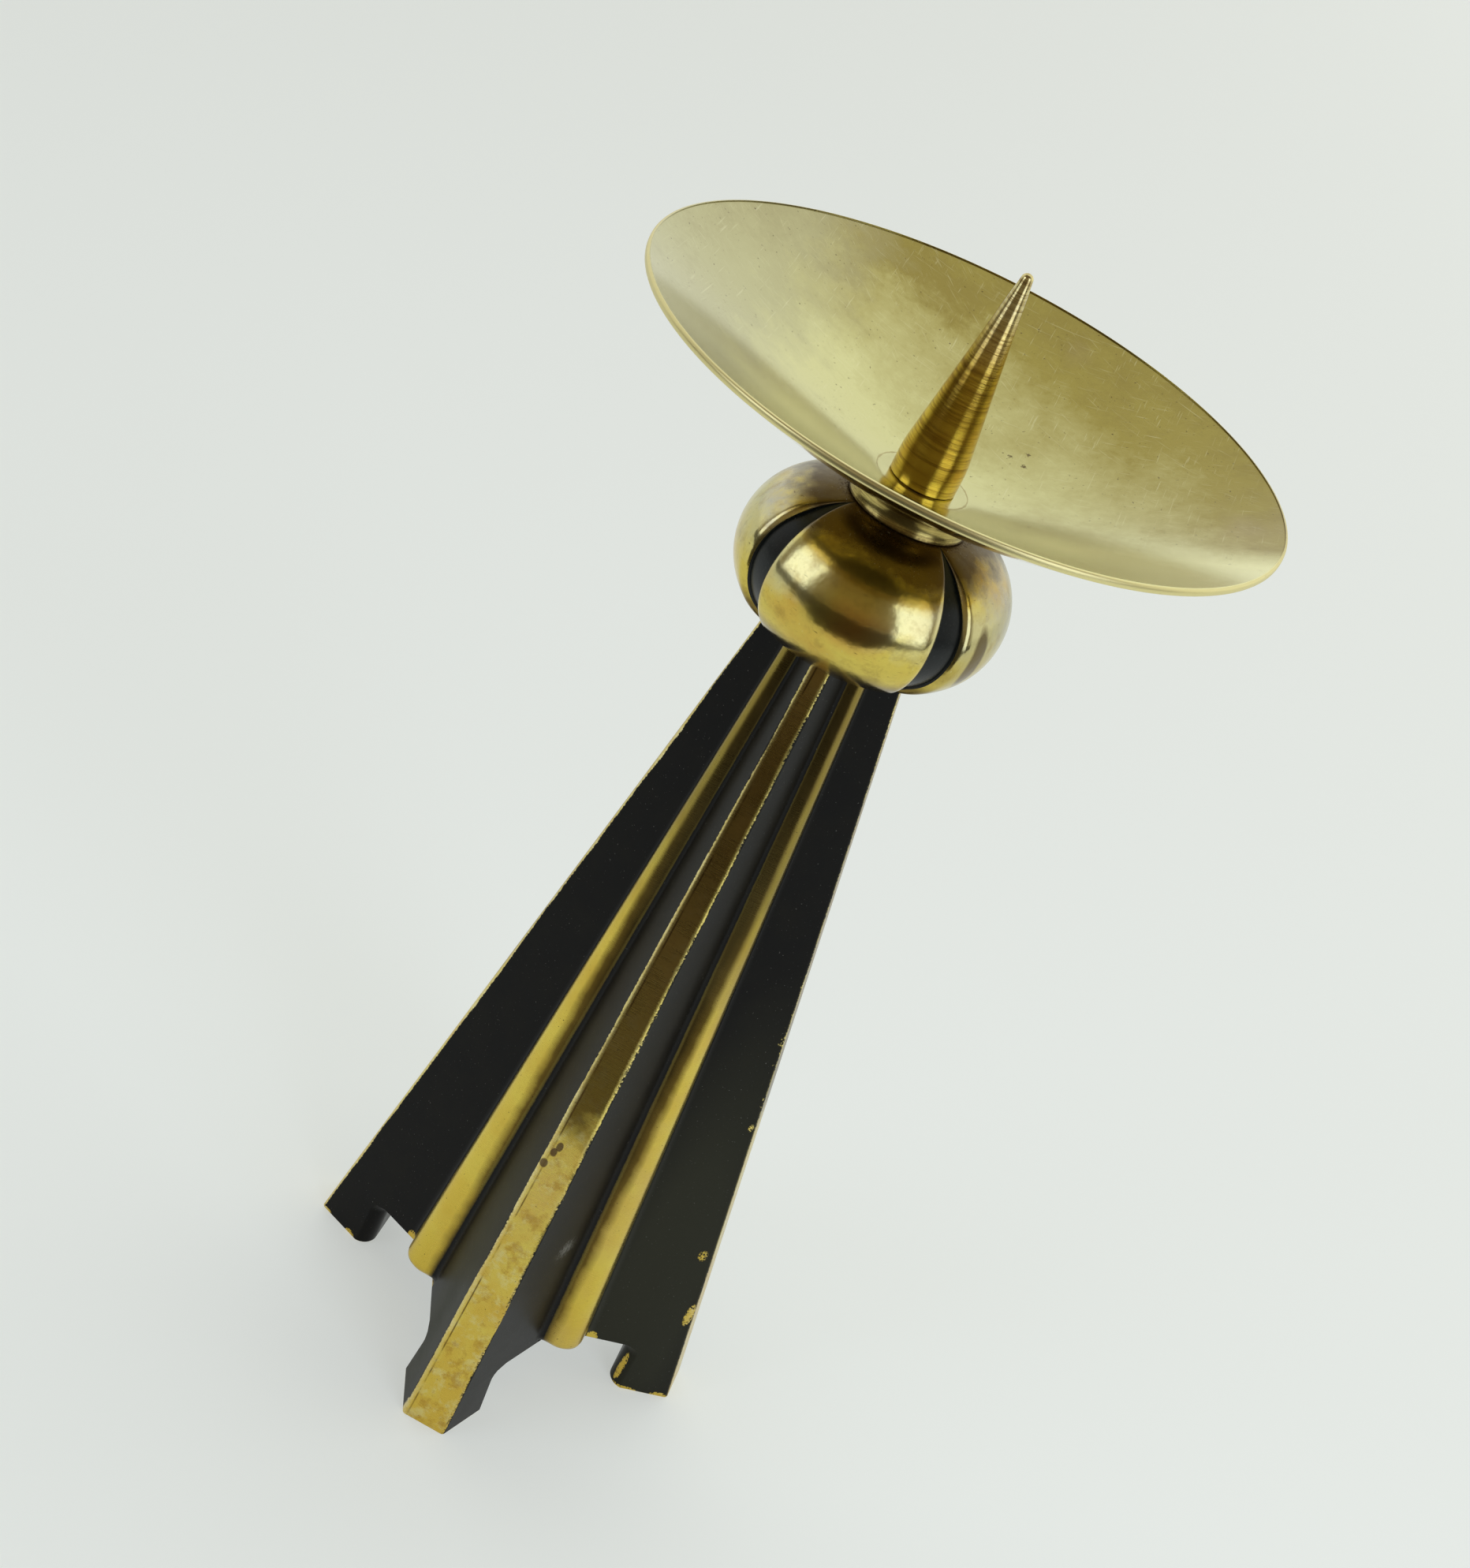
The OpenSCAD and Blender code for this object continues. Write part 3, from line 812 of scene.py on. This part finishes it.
class ColumnPlaces:
    """Where a point of the column lies, in millimetres, and the noise that wears it.

    to_edge and from_side are how far it lies inside a fin's outer end and inside its side. face,
    side_edge and rib are 1 there and 0 elsewhere. to_front is 0 along the middle of a rib and 1
    where the rib meets the front or the back fin.
    """

    def __init__(self, finish):
        self.finish, self.place = finish, finish.place()
        self.x, y, self.z = finish.axes_mm(self.place)
        self.fine = finish.noise(self.place, 0.5, 5.0, 0.72)
        self.coarse = finish.noise(self.place, 6.0, 3.0, 0.6)
        self.wide = finish.noise(self.place, 17.0, 2.0, 0.5)
        self.specks = finish.noise(self.place, 0.36, 3.0, 0.6)
        self.ragged = (self.fine - 0.5) * 1.1 + (self.coarse - 0.5) * 0.5
        self.left, self.right = (self.x * -2.0).held(), (self.x * 2.0).held()
        abs_x, abs_y = abs(self.x), abs(y)
        across, out = abs_x.below(abs_y), abs_x.above(abs_y)
        self.to_edge = fin_r(self.z) - out
        self.from_side = fin_w(self.z) - across
        self.side_edge = (0.75 - self.from_side).held()
        self.face = self.to_edge.falling(0.16, 30.0) * (1.0 - self.side_edge)
        root = root_w(self.z)
        rib_w = core_w(self.z) - root
        self.to_front = (abs_y - abs_x) / rib_w
        up_rib = (across - root) / rib_w
        front_share = (self.to_front * 0.3).held().below(0.15)
        self.rib = ((up_rib - 0.25 + front_share + self.ragged * 0.05) * 8.0).held()

    def spot(self, spot):
        return self.finish.spot(self.place, *spot)


def bare_column(finish, at):
    """Where the patina is worn off: 1 on bare brass, 0 on black."""
    right_fin = at.x.rising(10.0, 0.3)
    worn_edge = 0.22 + (at.wide - 0.5) * 0.9 - right_fin * 0.22 + at.left * 0.10
    edge = ((worn_edge + at.ragged * 0.55 - at.to_edge) * 11.0).held()
    patches = ((at.specks - 0.50) * 9.0 + (at.coarse - 0.5) * 6.0).held()
    cut_in = at.from_side.falling(0.42, 3.0) * patches * at.right
    underside = at.z.falling(0.16 + at.ragged * 0.5, 6.0)
    bare = (edge.above(at.face) - cut_in).above(at.rib).above(underside)
    near_edge = (1.0 - at.to_edge / 1.8).held()
    flaked = (1.0 - abs(at.z - FLAKED_EDGE_Z) / FLAKED_EDGE_H).held() * at.right * 0.16
    chip_noise = finish.noise(at.place, 1.3, 4.0, 0.8)
    chips = ((chip_noise - 0.74 + near_edge * (0.05 + flaked)) * 30.0).held() * near_edge
    bare = bare.above(chips)
    crumbs = (finish.noise(at.place, 0.38, 3.0, 0.7) - 0.5) * 4.4
    for worn_spot in WORN_SPOTS:
        spot = at.spot(worn_spot)
        crumbled = ((spot + crumbs * (1.15 - spot)) * 8.0).held()
        bare = bare.above(crumbled * (spot * 9.0).held())
    flakes = ((at.specks - 0.70 + (at.coarse - 0.5) * 0.22) * 26.0).held()
    return (bare - flakes * 0.95).held()


def face_layers(finish, at):
    """Colours of the bare front face of each fin, with a painted dark reflection towards the top.
    """
    low = ((0.30 - at.z / COLUMN_H) * 4.0 + (at.coarse - 0.5) * 3.0).held()
    blush = at.spot(BLUSH_SPOT).held() * at.fine.rising(0.3, 3.0)
    rubbed = finish.noise(at.place, 2.6, 5.0, 0.7).rising(0.50, 7.0) * at.face
    smoky = finish.noise(at.place, 3.6, 5.0, 0.7).rising(0.53, 8.0) * at.face
    # Painted dark reflection: the front face turns dark brown above a height, and lighter again
    # higher up.
    darkened_top = ((at.z - FACE_DARK_REFLECTION_Z + (at.coarse - 0.5) * 12.0) * 0.16).held() * at.face
    dark_reflection_colour = finish.layers(FACE_DARK_REFLECTION, [
        (at.z.rising(FACE_DARK_REFLECTION_HIGH_Z, 0.035), FACE_DARK_REFLECTION_HIGH),
        (at.z.rising(FACE_DARK_REFLECTION_TOP_Z, 0.06), FACE_DARK_REFLECTION_TOP),
    ])
    return [
        (low * 0.6, FACE_LOW),
        (blush * 0.5, FACE_BLUSH),
        (rubbed * 0.6, PALE_BRASS),
        (smoky * 0.6, FACE_SMOKY),
        (darkened_top * 0.92, dark_reflection_colour),
    ]


def rib_layers(at):
    """Colours of the bare ribs: painted shade on the rounded side towards the front fin, and
    darker towards the top.
    """
    rosy = ((at.wide * 0.6 + at.coarse * 0.4 - 0.44) * 6.0).held()
    # Painted shade: from this line towards the front fin the rib turns brown, then near black.
    # Higher up, and on the right rib, the line lies nearer the rib's middle.
    line = (0.70 - at.z * 0.0046).above(0.19) - at.right * 0.10 + (at.coarse - 0.5) * 0.25
    # Darker towards the top, from a lower height on the right rib.
    darkening_z = at.z - RIB_DARKER_TOP_Z + at.right * 10.0 + (at.coarse - 0.5) * 16.0
    darkened_top = (darkening_z / RIB_DARKER_TOP_H).held() * at.rib * (1.0 - at.face)
    side = at.to_front.falling(-0.10, 3.0) * (at.z / COLUMN_H) * at.rib * at.left
    return [
        (at.x.rising(4.0, 0.2) * at.rib * rosy * 0.5, RIB_ROSE),
        (at.rib * (1.0 - at.face) * 0.4, RIB_GOLD),
        (at.to_front.rising(line, 3.4) * at.rib * 0.94, RIB_PAINTED_SHADE),
        (((at.to_front - line - 0.22) * 3.0).held() * at.rib * 0.85, RIB_PAINTED_DEEP_SHADE),
        (darkened_top * 0.72, RIB_DARKER_TOP),
        (side * 0.7, RIB_SIDE),
    ]


def edge_layers(at):
    """Colours of the bare edges of the fins: a painted highlight along the right edges, pale
    bevels that are partly wear and partly painted highlight, and the stains beside them.
    """
    front_band = at.to_edge.falling(1.2, 3.0)
    # Painted highlight: a bright band along the right edges of the fins, from a height up.
    right_edge_highlight = at.from_side.falling(0.62 + (at.fine - 0.5) * 0.9, 3.0) * at.right * front_band
    right_edge_highlight = right_edge_highlight * at.z.rising(EDGE_PAINTED_HIGHLIGHT_Z, 0.06)
    gaps = ((at.wide + at.coarse - 0.86) * 5.0).held()
    line = abs(at.from_side - 0.85).falling(0.17, 12.0) * at.left * at.face * gaps
    # Pale bevels: worn in places, with a painted highlight on the left edges.
    bevel = at.side_edge * (1.6 - at.to_edge).held()
    broken = (at.coarse + at.fine).rising(0.98, 6.0)
    stains = [((at.spot(stain) + at.ragged * 0.3) * 5.0).held() for stain in STAINS]
    return [
        (right_edge_highlight * 0.85, EDGE_PAINTED_HIGHLIGHT),
        (line * 0.75, BROWN),
        (bevel * (broken * 0.4 + at.left * 0.38), WORN_EDGE_AND_HIGHLIGHT),
    ] + [(stain * 0.85, FACE_STAIN) for stain in stains]


def column_finish():
    """Black patina, worn to bare brass on the ribs and along the edges of the fins."""
    material, finish = new_finish("patinated_cast_brass")
    at = ColumnPlaces(finish)
    bare = bare_column(finish, at)
    grain = finish.noise(at.place, *GRAIN)
    brass, cloudy, height = handled_brass(finish, at.place, grain, 9.0)
    brass = finish.layers(brass, face_layers(finish, at) + rib_layers(at) + edge_layers(at))
    tooled = finish.noise(finish.stretched(at.place, ALONG_FINS), *TOOLED)
    crossed = finish.noise(finish.stretched(at.place, ACROSS_FINS), *CROSSED)

    dusty = finish.noise(at.place, 0.3, 2.0, 0.5).rising(0.715, 20.0)
    dulled = at.spot(DULLED_SPOTS[0]).held() + at.spot(DULLED_SPOTS[1]).held()
    streak = at.spot(DUSTY_STREAK[0]).above(at.spot(DUSTY_STREAK[1]))
    streaked = ((streak + (at.fine - 0.62) * 3.0) * 2.0).held() * streak.held()
    patina = finish.layers(BLACK, [
        (at.coarse.rising(0.4, 2.0), BLACK_OLIVE),
        ((dulled * 1.8).held() * 0.9, DULLED),
        (streaked * 0.6, DUST),
        (dusty * 0.4, DUST),
    ])

    black = 1.0 - bare
    brass_rough = 0.17 + tooled * 0.14 + cloudy * 0.07 + at.z / COLUMN_H * 0.03
    black_rough = 0.27 + at.coarse * 0.12 + dulled.held() * 0.14
    brass_relief = tooled * 0.35 + crossed * 0.3 + height * 0.35
    finish.shader(
        bump=bare * brass_relief + black * (0.6 + at.fine * 0.4), bump_mm=0.03,
        Base_Color=finish.mix(bare, patina, brass), Metallic=bare * METAL,
        Roughness=bare * brass_rough + black * black_rough, Specular_IOR_Level=0.12,
    )
    return material


def knop_finish():
    """Polished lobes with cloudy tarnish: a grey film at the sides, dirt close to the collar,
    paler brass as a painted highlight where the lamps fall, and a painted dark reflection at the
    top and beside the right groove.
    """
    material, finish = new_finish("polished_aged_brass")
    place = finish.place()
    x, y, z = finish.axes_mm(place)
    grain = finish.noise(place, *GRAIN)
    brass, cloudy, height = handled_brass(finish, place, grain, 11.0)
    clouds = finish.noise(place, 6.0, 4.0, 0.62)
    share = (z - KNOP_LOW) / (KNOP_TOP - KNOP_LOW)
    radius = (x * x + y * y) ** 0.5

    # Painted highlight: paler brass at the sides of the knop above its middle, where the lamps'
    # highlights fall, fading out at the top.
    aside = (abs(x) * 0.22 - 0.5).held()
    highlight_pale = ((share - 0.42) * 5.0 + (clouds - 0.5) * 2.0).held() * (0.06 + aside * 0.86)
    highlight_pale = highlight_pale * (1.0 - share.rising(0.74, 9.0))
    film = ((abs(x) - 12.0) * 0.06 + (share - 0.76) * 3.0 + (clouds - 0.5) * 3.2).held()
    film = film * abs(x).rising(6.0, 0.25)
    dim = finish.noise(place, 3.4, 4.0, 0.65).rising(0.52, 4.0)
    ticks = finish.noise(finish.stretched(place, UPRIGHT_TICKS), *TICKS).rising(0.72, 20.0)
    # Painted dark reflection: a dark brown band on the right lobe beside its groove.
    reflection_beside_groove = finish.spot(place, *GROOVE_SIDE_REFLECTION_SPOT) + (clouds - 0.5) * 0.6
    # Painted dark reflection under the pan: the top of the knop turns dark brown, less towards the
    # sides.
    towards_side = (abs(x) - 6.0).above(0.0) * 0.06
    top_dark_reflection = ((share - 0.77) * 8.0 + (clouds - 0.5) * 1.8 - towards_side).held()
    foot = ((0.27 - share) * 8.0 + (clouds - 0.5) * 1.6).held()
    nicks = finish.noise(finish.stretched(place, LEVEL_NICKS), *NICKS).rising(0.67, 22.0)
    near_collar = ((COLLAR_R + DIRT_REACH - radius) / DIRT_REACH).held()
    near_collar = near_collar * z.rising(KNOP_TOP - DIRT_H, 2.0)
    specks = finish.noise(place, 0.34, 3.0, 0.6)
    dirt = ((specks - 0.62 + near_collar * 0.16) * 10.0).held() * near_collar
    dust = finish.noise(place, 0.27, 1.0, 0.5).rising(0.70, 22.0) * (near_collar + top_dark_reflection * 0.35)
    colour = finish.layers(brass, [
        (highlight_pale * 0.8, KNOP_HIGHLIGHT_PALE),
        (finish.spot(place, *KNOP_RED_SPOT).held() * 0.6, KNOP_RED),
        (finish.spot(place, *KNOP_GREEN_SPOT).held() * 0.4, KNOP_GREEN),
        (film * 0.75, FILM),
        (x.rising(13.0, 0.25) * 0.3, KNOP_SHADED),
        (dim * 0.55, KNOP_DIM),
        (ticks * 0.6, KNOP_TICKS),
        ((reflection_beside_groove * 3.0).held() * 0.85, BESIDE_GROOVE_REFLECTION),
        (top_dark_reflection * 0.9, KNOP_DARK_REFLECTION),
        (foot * 0.85, KNOP_FOOT),
        (nicks * 0.6, BROWN),
        (dirt * 0.8, BROWN),
        (dust * 0.7, DUST),
    ])

    rough = 0.13 + cloudy * 0.06 + grain * 0.06 + dim * 0.05 + film * 0.10
    uneven = finish.noise(place, 4.5, 3.0, 0.55)
    finish.shader(
        bump=uneven + height * 0.16 - dirt * 0.08, bump_mm=0.09, Base_Color=colour,
        Metallic=METAL - dust * 0.9, Roughness=rough + top_dark_reflection * 0.10 + dirt * 0.3,
    )
    return material


def groove_finish():
    """Glossy black in the grooves of the knop, with a little dust."""
    material, finish = new_finish("blackened_groove")
    place = finish.place()
    clouds = finish.noise(place, 5.0, 3.0, 0.6)
    fine = finish.noise(place, 0.5, 4.0, 0.65)
    dusty = finish.noise(place, 0.28, 3.0, 0.6).rising(0.70, 16.0)
    colour = finish.layers(BLACK, [
        (clouds, GROOVE_SHEEN),
        (fine.rising(0.6, 4.0) * 0.10, DUST),
        (dusty * 0.5, DUST),
    ])
    finish.shader(
        bump=fine, bump_mm=0.02, Base_Color=colour, Metallic=0.0, Roughness=0.22 + clouds * 0.14,
        Specular_IOR_Level=0.25,
    )
    return material


def pan_scratches(finish, place):
    """Fine straight scratches that cross the pan in three directions."""
    slanted = finish.node(
        "ShaderNodeVectorRotate", {"rotation_type": "Z_AXIS"},
        {"Vector": place, "Angle": SCRATCH_SLANT},
    )
    directions = (
        (place, (0.03, 1.6, 0.2), 0.30, 0.655),
        (place, (1.4, 0.035, 0.2), 0.34, 0.655),
        (slanted, (0.025, 1.7, 0.2), 0.26, 0.66),
    )
    scratches = [
        finish.noise(finish.stretched(vector, stretch), size, 2.0, 0.5).rising(start, 12.0)
        for vector, stretch, size, start in directions
    ]
    return sum(scratches).below(1.0)


def spun_finish():
    """Inside of the pan: pale brass that turns olive towards the back, darker towards the left,
    with painted light on the near right, scratched and pitted.
    """
    material, finish = new_finish("spun_brass")
    place = finish.place()
    x, y = finish.axes_mm(place, "XY")
    radius = (x * x + y * y) ** 0.5
    around = finish.node("ShaderNodeCombineXYZ", {}, {"X": radius * MM})
    rings = finish.noise(around, 0.5, 4.0, 0.65)
    wide = finish.noise(place, 24.0, 3.0, 0.5)
    clouds = finish.noise(place, 7.0, 5.0, 0.62)
    small = finish.noise(place, 1.6, 4.0, 0.7)

    settled = x * 0.009 + y * 0.016 + radius * 0.016 - 0.26
    patchy = (wide - 0.5) * 1.1
    tarnish = (settled + patchy + (clouds - 0.5) * 0.7 + (small - 0.5) * 0.35).held()
    brown = (clouds - 0.56) * 3.0 + (wide - 0.5) * 1.5 + (radius - 42.0) * 0.04 + y * 0.010
    brown = brown + finish.spot(place, *PAN_FAR_SPOT).held() * 0.9
    rose = ((wide - 0.54) * 4.0 - y * 0.01).held() * radius.rising(28.0, 0.06)
    # Darker towards the left of the pan's inside.
    darker_left = ((-20.0 - x) * 0.07 + (clouds - 0.5) * 1.6).held()
    # Painted light: paler brass on the near right of the pan's inside.
    near_right_painted_light = ((x - y - 16.0) * 0.05).held() * ((y + 2.0) * -0.12).held()
    pits = finish.noise(place, 0.5, 2.0, 0.5).rising(0.705, 22.0)
    for middle, size in PAN_PITS:
        spot = finish.spot(place, middle, (size * 1.25, size, size * 1.5))
        crumbs = (finish.noise(place, 0.3, 3.0, 0.7) - 0.72) * 2.6
        pits = pits.above(((spot + crumbs) * 6.0).held())
    scratches = pan_scratches(finish, place)
    seat_line = ((0.16 - abs(radius - PAN_SEAT_R) + (small - 0.5) * 0.5) * 8.0).held()
    rim = ((radius - (PAN_R - 0.48) + (small - 0.5) * 0.3) * 8.0).held()
    colour = finish.layers(PAN_CLEAN, [
        (tarnish, PAN_OLIVE),
        ((brown + (small - 0.5) * 1.2).held() * 0.55, PAN_BROWN),
        (rose * 0.35, PAN_ROSE),
        (darker_left * 0.7, PAN_DARKER_LEFT),
        (near_right_painted_light * 0.8, PAN_PAINTED_LIGHT),
        (pits * 0.85, BROWN),
        (scratches * 0.22, PAN_SCRATCH),
        (seat_line * 0.6, OLD_BRASS),
        (rim * 0.8, PAN_EDGE),
    ])

    relief = rings * 0.4 + clouds * 0.5 + small * 0.2 - scratches * 0.25 - pits * 0.5
    finish.shader(
        bump=relief - seat_line * 0.6, bump_mm=0.010, Base_Color=colour, Metallic=METAL,
        Roughness=0.13 + tarnish * 0.09 + small * 0.06 + rim * 0.18,
    )
    return material


def mirror_finish():
    """Underside of the pan: polished and clean."""
    material, finish = new_finish("polished_pan_underside")
    clouds = finish.noise(finish.place(), 8.0, 4.0, 0.6)
    finish.shader(
        bump=clouds, bump_mm=0.01, Base_Color=finish.mix(clouds, *UNDERSIDE), Metallic=METAL,
        Roughness=0.05 + clouds * 0.04,
    )
    return material


def turned_finish(name, colours, line_mm, line_depth_mm, rough, pale_from=None, dirty_below=None):
    """Brass from the lathe, with fine lines round it. The colours are clean, cloudy and stained.

    Above the height pale_from it turns paler. Below the height dirty_below it is brown with dirt.
    """
    material, finish = new_finish(name)
    place = finish.place()
    up = finish.axes_mm(place, "Z")[0]
    clean, cloudy_colour, stained = colours
    clouds = finish.noise(place, 4.0, 4.0, 0.6)
    fine = finish.noise(place, 0.5, 4.0, 0.65)
    lines = finish.noise(finish.stretched(place, LATHE_LINES), line_mm, 5.0, 0.8)
    cloudy = clouds.rising(0.40, 3.0)
    layers = [(cloudy, cloudy_colour)]
    if pale_from is not None:
        pale = ((up - pale_from) * 0.09 + (clouds - 0.5) * 0.8).held()
        layers.append((pale * 0.75, PALE_TIP))
    layers.append((lines.rising(0.46, 7.0) * 0.7, stained))
    layers.append((finish.noise(place, 0.35, 2.0, 0.5).rising(0.72, 20.0) * 0.6, BROWN))
    if dirty_below is not None:
        dirt = ((dirty_below - up + (fine - 0.5) * 1.2) * 1.6).held()
        layers.append((dirt * 0.8, BROWN))
    finish.shader(
        bump=lines, bump_mm=line_depth_mm, Base_Color=finish.layers(clean, layers),
        Metallic=METAL, Roughness=rough + lines * 0.08 + cloudy * 0.04 + fine * 0.03,
    )
    return material


def steel_finish():
    """Zinc plated steel of the rod, the nut and the washer."""
    material, finish = new_finish("zinc_plated_steel")
    place = finish.place()
    clouds = finish.noise(place, 2.5, 4.0, 0.6)
    lines = finish.noise(finish.stretched(place, DRAWN_LINES), 0.35, 3.0, 0.6)
    finish.shader(
        bump=lines, bump_mm=0.015, Base_Color=finish.mix(clouds, *STEEL), Metallic=0.95,
        Roughness=0.30 + clouds * 0.15,
    )
    return material


# Studio, in metres

FLOOR_HALF = 4.0
FLOOR_COLOUR = (0.85, 0.885, 0.85)
# Where the camera and reflections see the floor, it is darker and glows: a painted light, brighter
# towards the right, that lifts the object's shadow:
SEEN_COLOUR = (0.48, 0.505, 0.49)
FLOOR_PAINTED_GLOW = ((0.39, 0.405, 0.39), (0.485, 0.505, 0.485))
CARD_HALF = [(0.10, -0.235), (0.30, -0.39), (0.62, -0.36), (1.10, 0.10), (3.0, 0.40), (3.0, -3.5)]
CARD_Z = 0.0004
CARD_COLOUR = (0.043, 0.033, 0.019)
BRIGHT_LEFT = (0.88, 0.90, 0.875)
BRIGHT_RIGHT = (1.02, 1.05, 1.01)
SEEN_SURROUND = (0.82, 0.85, 0.82)
DARK_ROOM = (0.13, 0.095, 0.055)
LIT_ROOM = (0.25, 0.205, 0.13)
LAMP_COLOUR = (0.93, 1.035, 1.26)
LAMP_AIM = (0, 0, 0.13)
# Name, azimuth and elevation in degrees, distance, width and height, power in watts
SOFTBOXES = [
    ("left_softbox", -52, 20, 1.0, 0.50, 0.72, 1.55),
    ("right_softbox", 51, 22, 1.0, 0.54, 1.16, 2.7),
]
PHOTO_SIZE = (1864, 1988)
SENSOR = 36.0
CAMERA_FOCAL_PX = 2709.6
CAMERA_PLACE = (10.56, -292.83, 306.02)      # in millimetres
CAMERA_FORWARD = (-0.0428, 0.8498, -0.5254)
CAMERA_RIGHT = (0.8771, 0.2837, 0.3875)
CAMERA_CLIP = (0.01, 50.0)


def add_camera():
    data = bpy.data.cameras.new("camera")
    data.sensor_fit = "AUTO"
    data.sensor_width = SENSOR
    data.lens = CAMERA_FOCAL_PX * SENSOR / max(PHOTO_SIZE)
    data.clip_start, data.clip_end = CAMERA_CLIP
    camera = new_object("camera", data)
    back = -Vector(CAMERA_FORWARD).normalized()
    right = Vector(CAMERA_RIGHT).normalized()
    up = back.cross(right).normalized()
    right = up.cross(back)
    turn = Matrix((right, up, back)).transposed()
    camera.matrix_world = Matrix.Translation(Vector(CAMERA_PLACE) * MM) @ turn.to_4x4()
    bpy.context.scene.camera = camera


def flat_sheet(name, outline, z):
    """A flat sheet of the studio, from its outline."""
    mesh = bpy.data.meshes.new(name)
    mesh.from_pydata([(x, y, z) for x, y in outline], [], [tuple(range(len(outline)))])
    return new_object(name, mesh)


def add_floor():
    half = FLOOR_HALF
    floor = flat_sheet("floor", [(-half, -half), (half, -half), (half, half), (-half, half)], 0)
    material, finish = new_finish("pale_floor_painted_glow")
    x = finish.axes(finish.place(), "X")[0]
    path = finish.node("ShaderNodeLightPath", output="Is Camera Ray")
    seen = path + Value(finish, path.socket.node.outputs["Is Glossy Ray"])
    # Painted light: the floor glows where the camera and reflections see it, brighter towards the
    # right.
    painted_glow = finish.mix((x * 1.1 + 0.5).held(), *FLOOR_PAINTED_GLOW)
    painted_glow = finish.mix(seen, (0.0, 0.0, 0.0), painted_glow)
    colour = finish.mix(seen, FLOOR_COLOUR, SEEN_COLOUR)
    finish.shader(Base_Color=colour, Roughness=0.7, Emission_Color=painted_glow, Emission_Strength=1.0)
    floor.data.materials.append(material)


def add_dark_card():
    """A dark card on the floor towards the viewer. Only reflections see it."""
    outline = [(-x, y) for x, y in reversed(CARD_HALF)] + CARD_HALF
    card = flat_sheet("dark_card", outline, CARD_Z)
    material, finish = new_finish("dark_card")
    finish.shader(Base_Color=(*CARD_COLOUR, 1.0), Roughness=0.9)
    card.data.materials.append(material)
    card.visible_camera = card.visible_diffuse = card.visible_shadow = False
    card.visible_transmission = card.visible_volume_scatter = False


def add_softbox(name, azimuth, elevation, distance, width, height, power):
    """A soft lamp that faces the object. Azimuth 0 is the front, positive to the right."""
    az, el = math.radians(azimuth), math.radians(elevation)
    away = Vector((math.sin(az) * math.cos(el), -math.cos(az) * math.cos(el), math.sin(el)))
    data = bpy.data.lights.new(name, "AREA")
    data.shape = "RECTANGLE"
    data.size, data.size_y = width, height
    data.energy = power
    data.color = LAMP_COLOUR
    lamp = new_object(name, data)
    lamp.location = Vector(LAMP_AIM) + away * distance
    lamp.rotation_euler = away.to_track_quat("Z", "Y").to_euler()
    lamp.visible_camera = False


def add_world():
    """A pale surround at the sides, the back and overhead, and a dark room in front."""
    world = bpy.data.worlds.new("studio")
    bpy.context.scene.world = world
    world.use_nodes = True
    finish = Finish(world.node_tree)
    x, y, z = finish.axes(finish.node("ShaderNodeTexCoord", output="Generated"))
    level = (x * x + y * y) ** 0.5
    front = ((0.22 + (z - 0.55).held() * 1.2 - y / level.above(0.001)) * 1.9).held()
    pale = finish.mix((x * 0.9 + 0.5).held(), BRIGHT_LEFT, BRIGHT_RIGHT)
    room = finish.mix((abs(z - 0.25) * 1.6).held(), LIT_ROOM, DARK_ROOM)
    lit = finish.mix(front, pale, room)
    seen = finish.node("ShaderNodeLightPath", output="Is Camera Ray")
    colour = finish.mix(seen, lit, SEEN_SURROUND)
    background = finish.node("ShaderNodeBackground", {}, {"Color": colour, "Strength": 1.0})
    finish.node("ShaderNodeOutputWorld", {}, {"Surface": background})


def add_studio():
    add_camera()
    add_floor()
    add_dark_card()
    add_world()
    for softbox in SOFTBOXES:
        add_softbox(*softbox)
    bpy.context.scene.view_settings.view_transform = "Standard"


def add_object():
    knop = [knop_finish(), groove_finish()]
    pan = [spun_finish(), mirror_finish()]
    collar = turned_finish(
        "turned_collar_brass", COLLAR_BRASS, line_mm=0.5, line_depth_mm=0.003, rough=0.12,
        dirty_below=COLLAR_DIRT_TOP,
    )
    spike = turned_finish(
        "turned_spike_brass", SPIKE_BRASS, line_mm=0.9, line_depth_mm=0.04, rough=0.09,
        pale_from=SPIKE_PALE_FROM,
    )
    new_piece("finned_column", column_mesh(), [column_finish()], "stand", "column")
    new_piece("lobed_knop", knop_mesh(), knop, "stand", "knop", KNOP_SHARP)
    new_piece("turned_collar", collar_mesh(), [collar], "stand", "collar")
    new_piece("spun_pan", pan_mesh(), pan, "pan", "drip_pan")
    new_piece("pricket_spike", spike_mesh(), [spike], "spike", "spike")
    steel = steel_finish()
    for name in ("tie_rod", "rod_washer", "rod_nut"):
        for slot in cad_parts[name].material_slots:
            slot.material = steel


add_studio()
add_object()
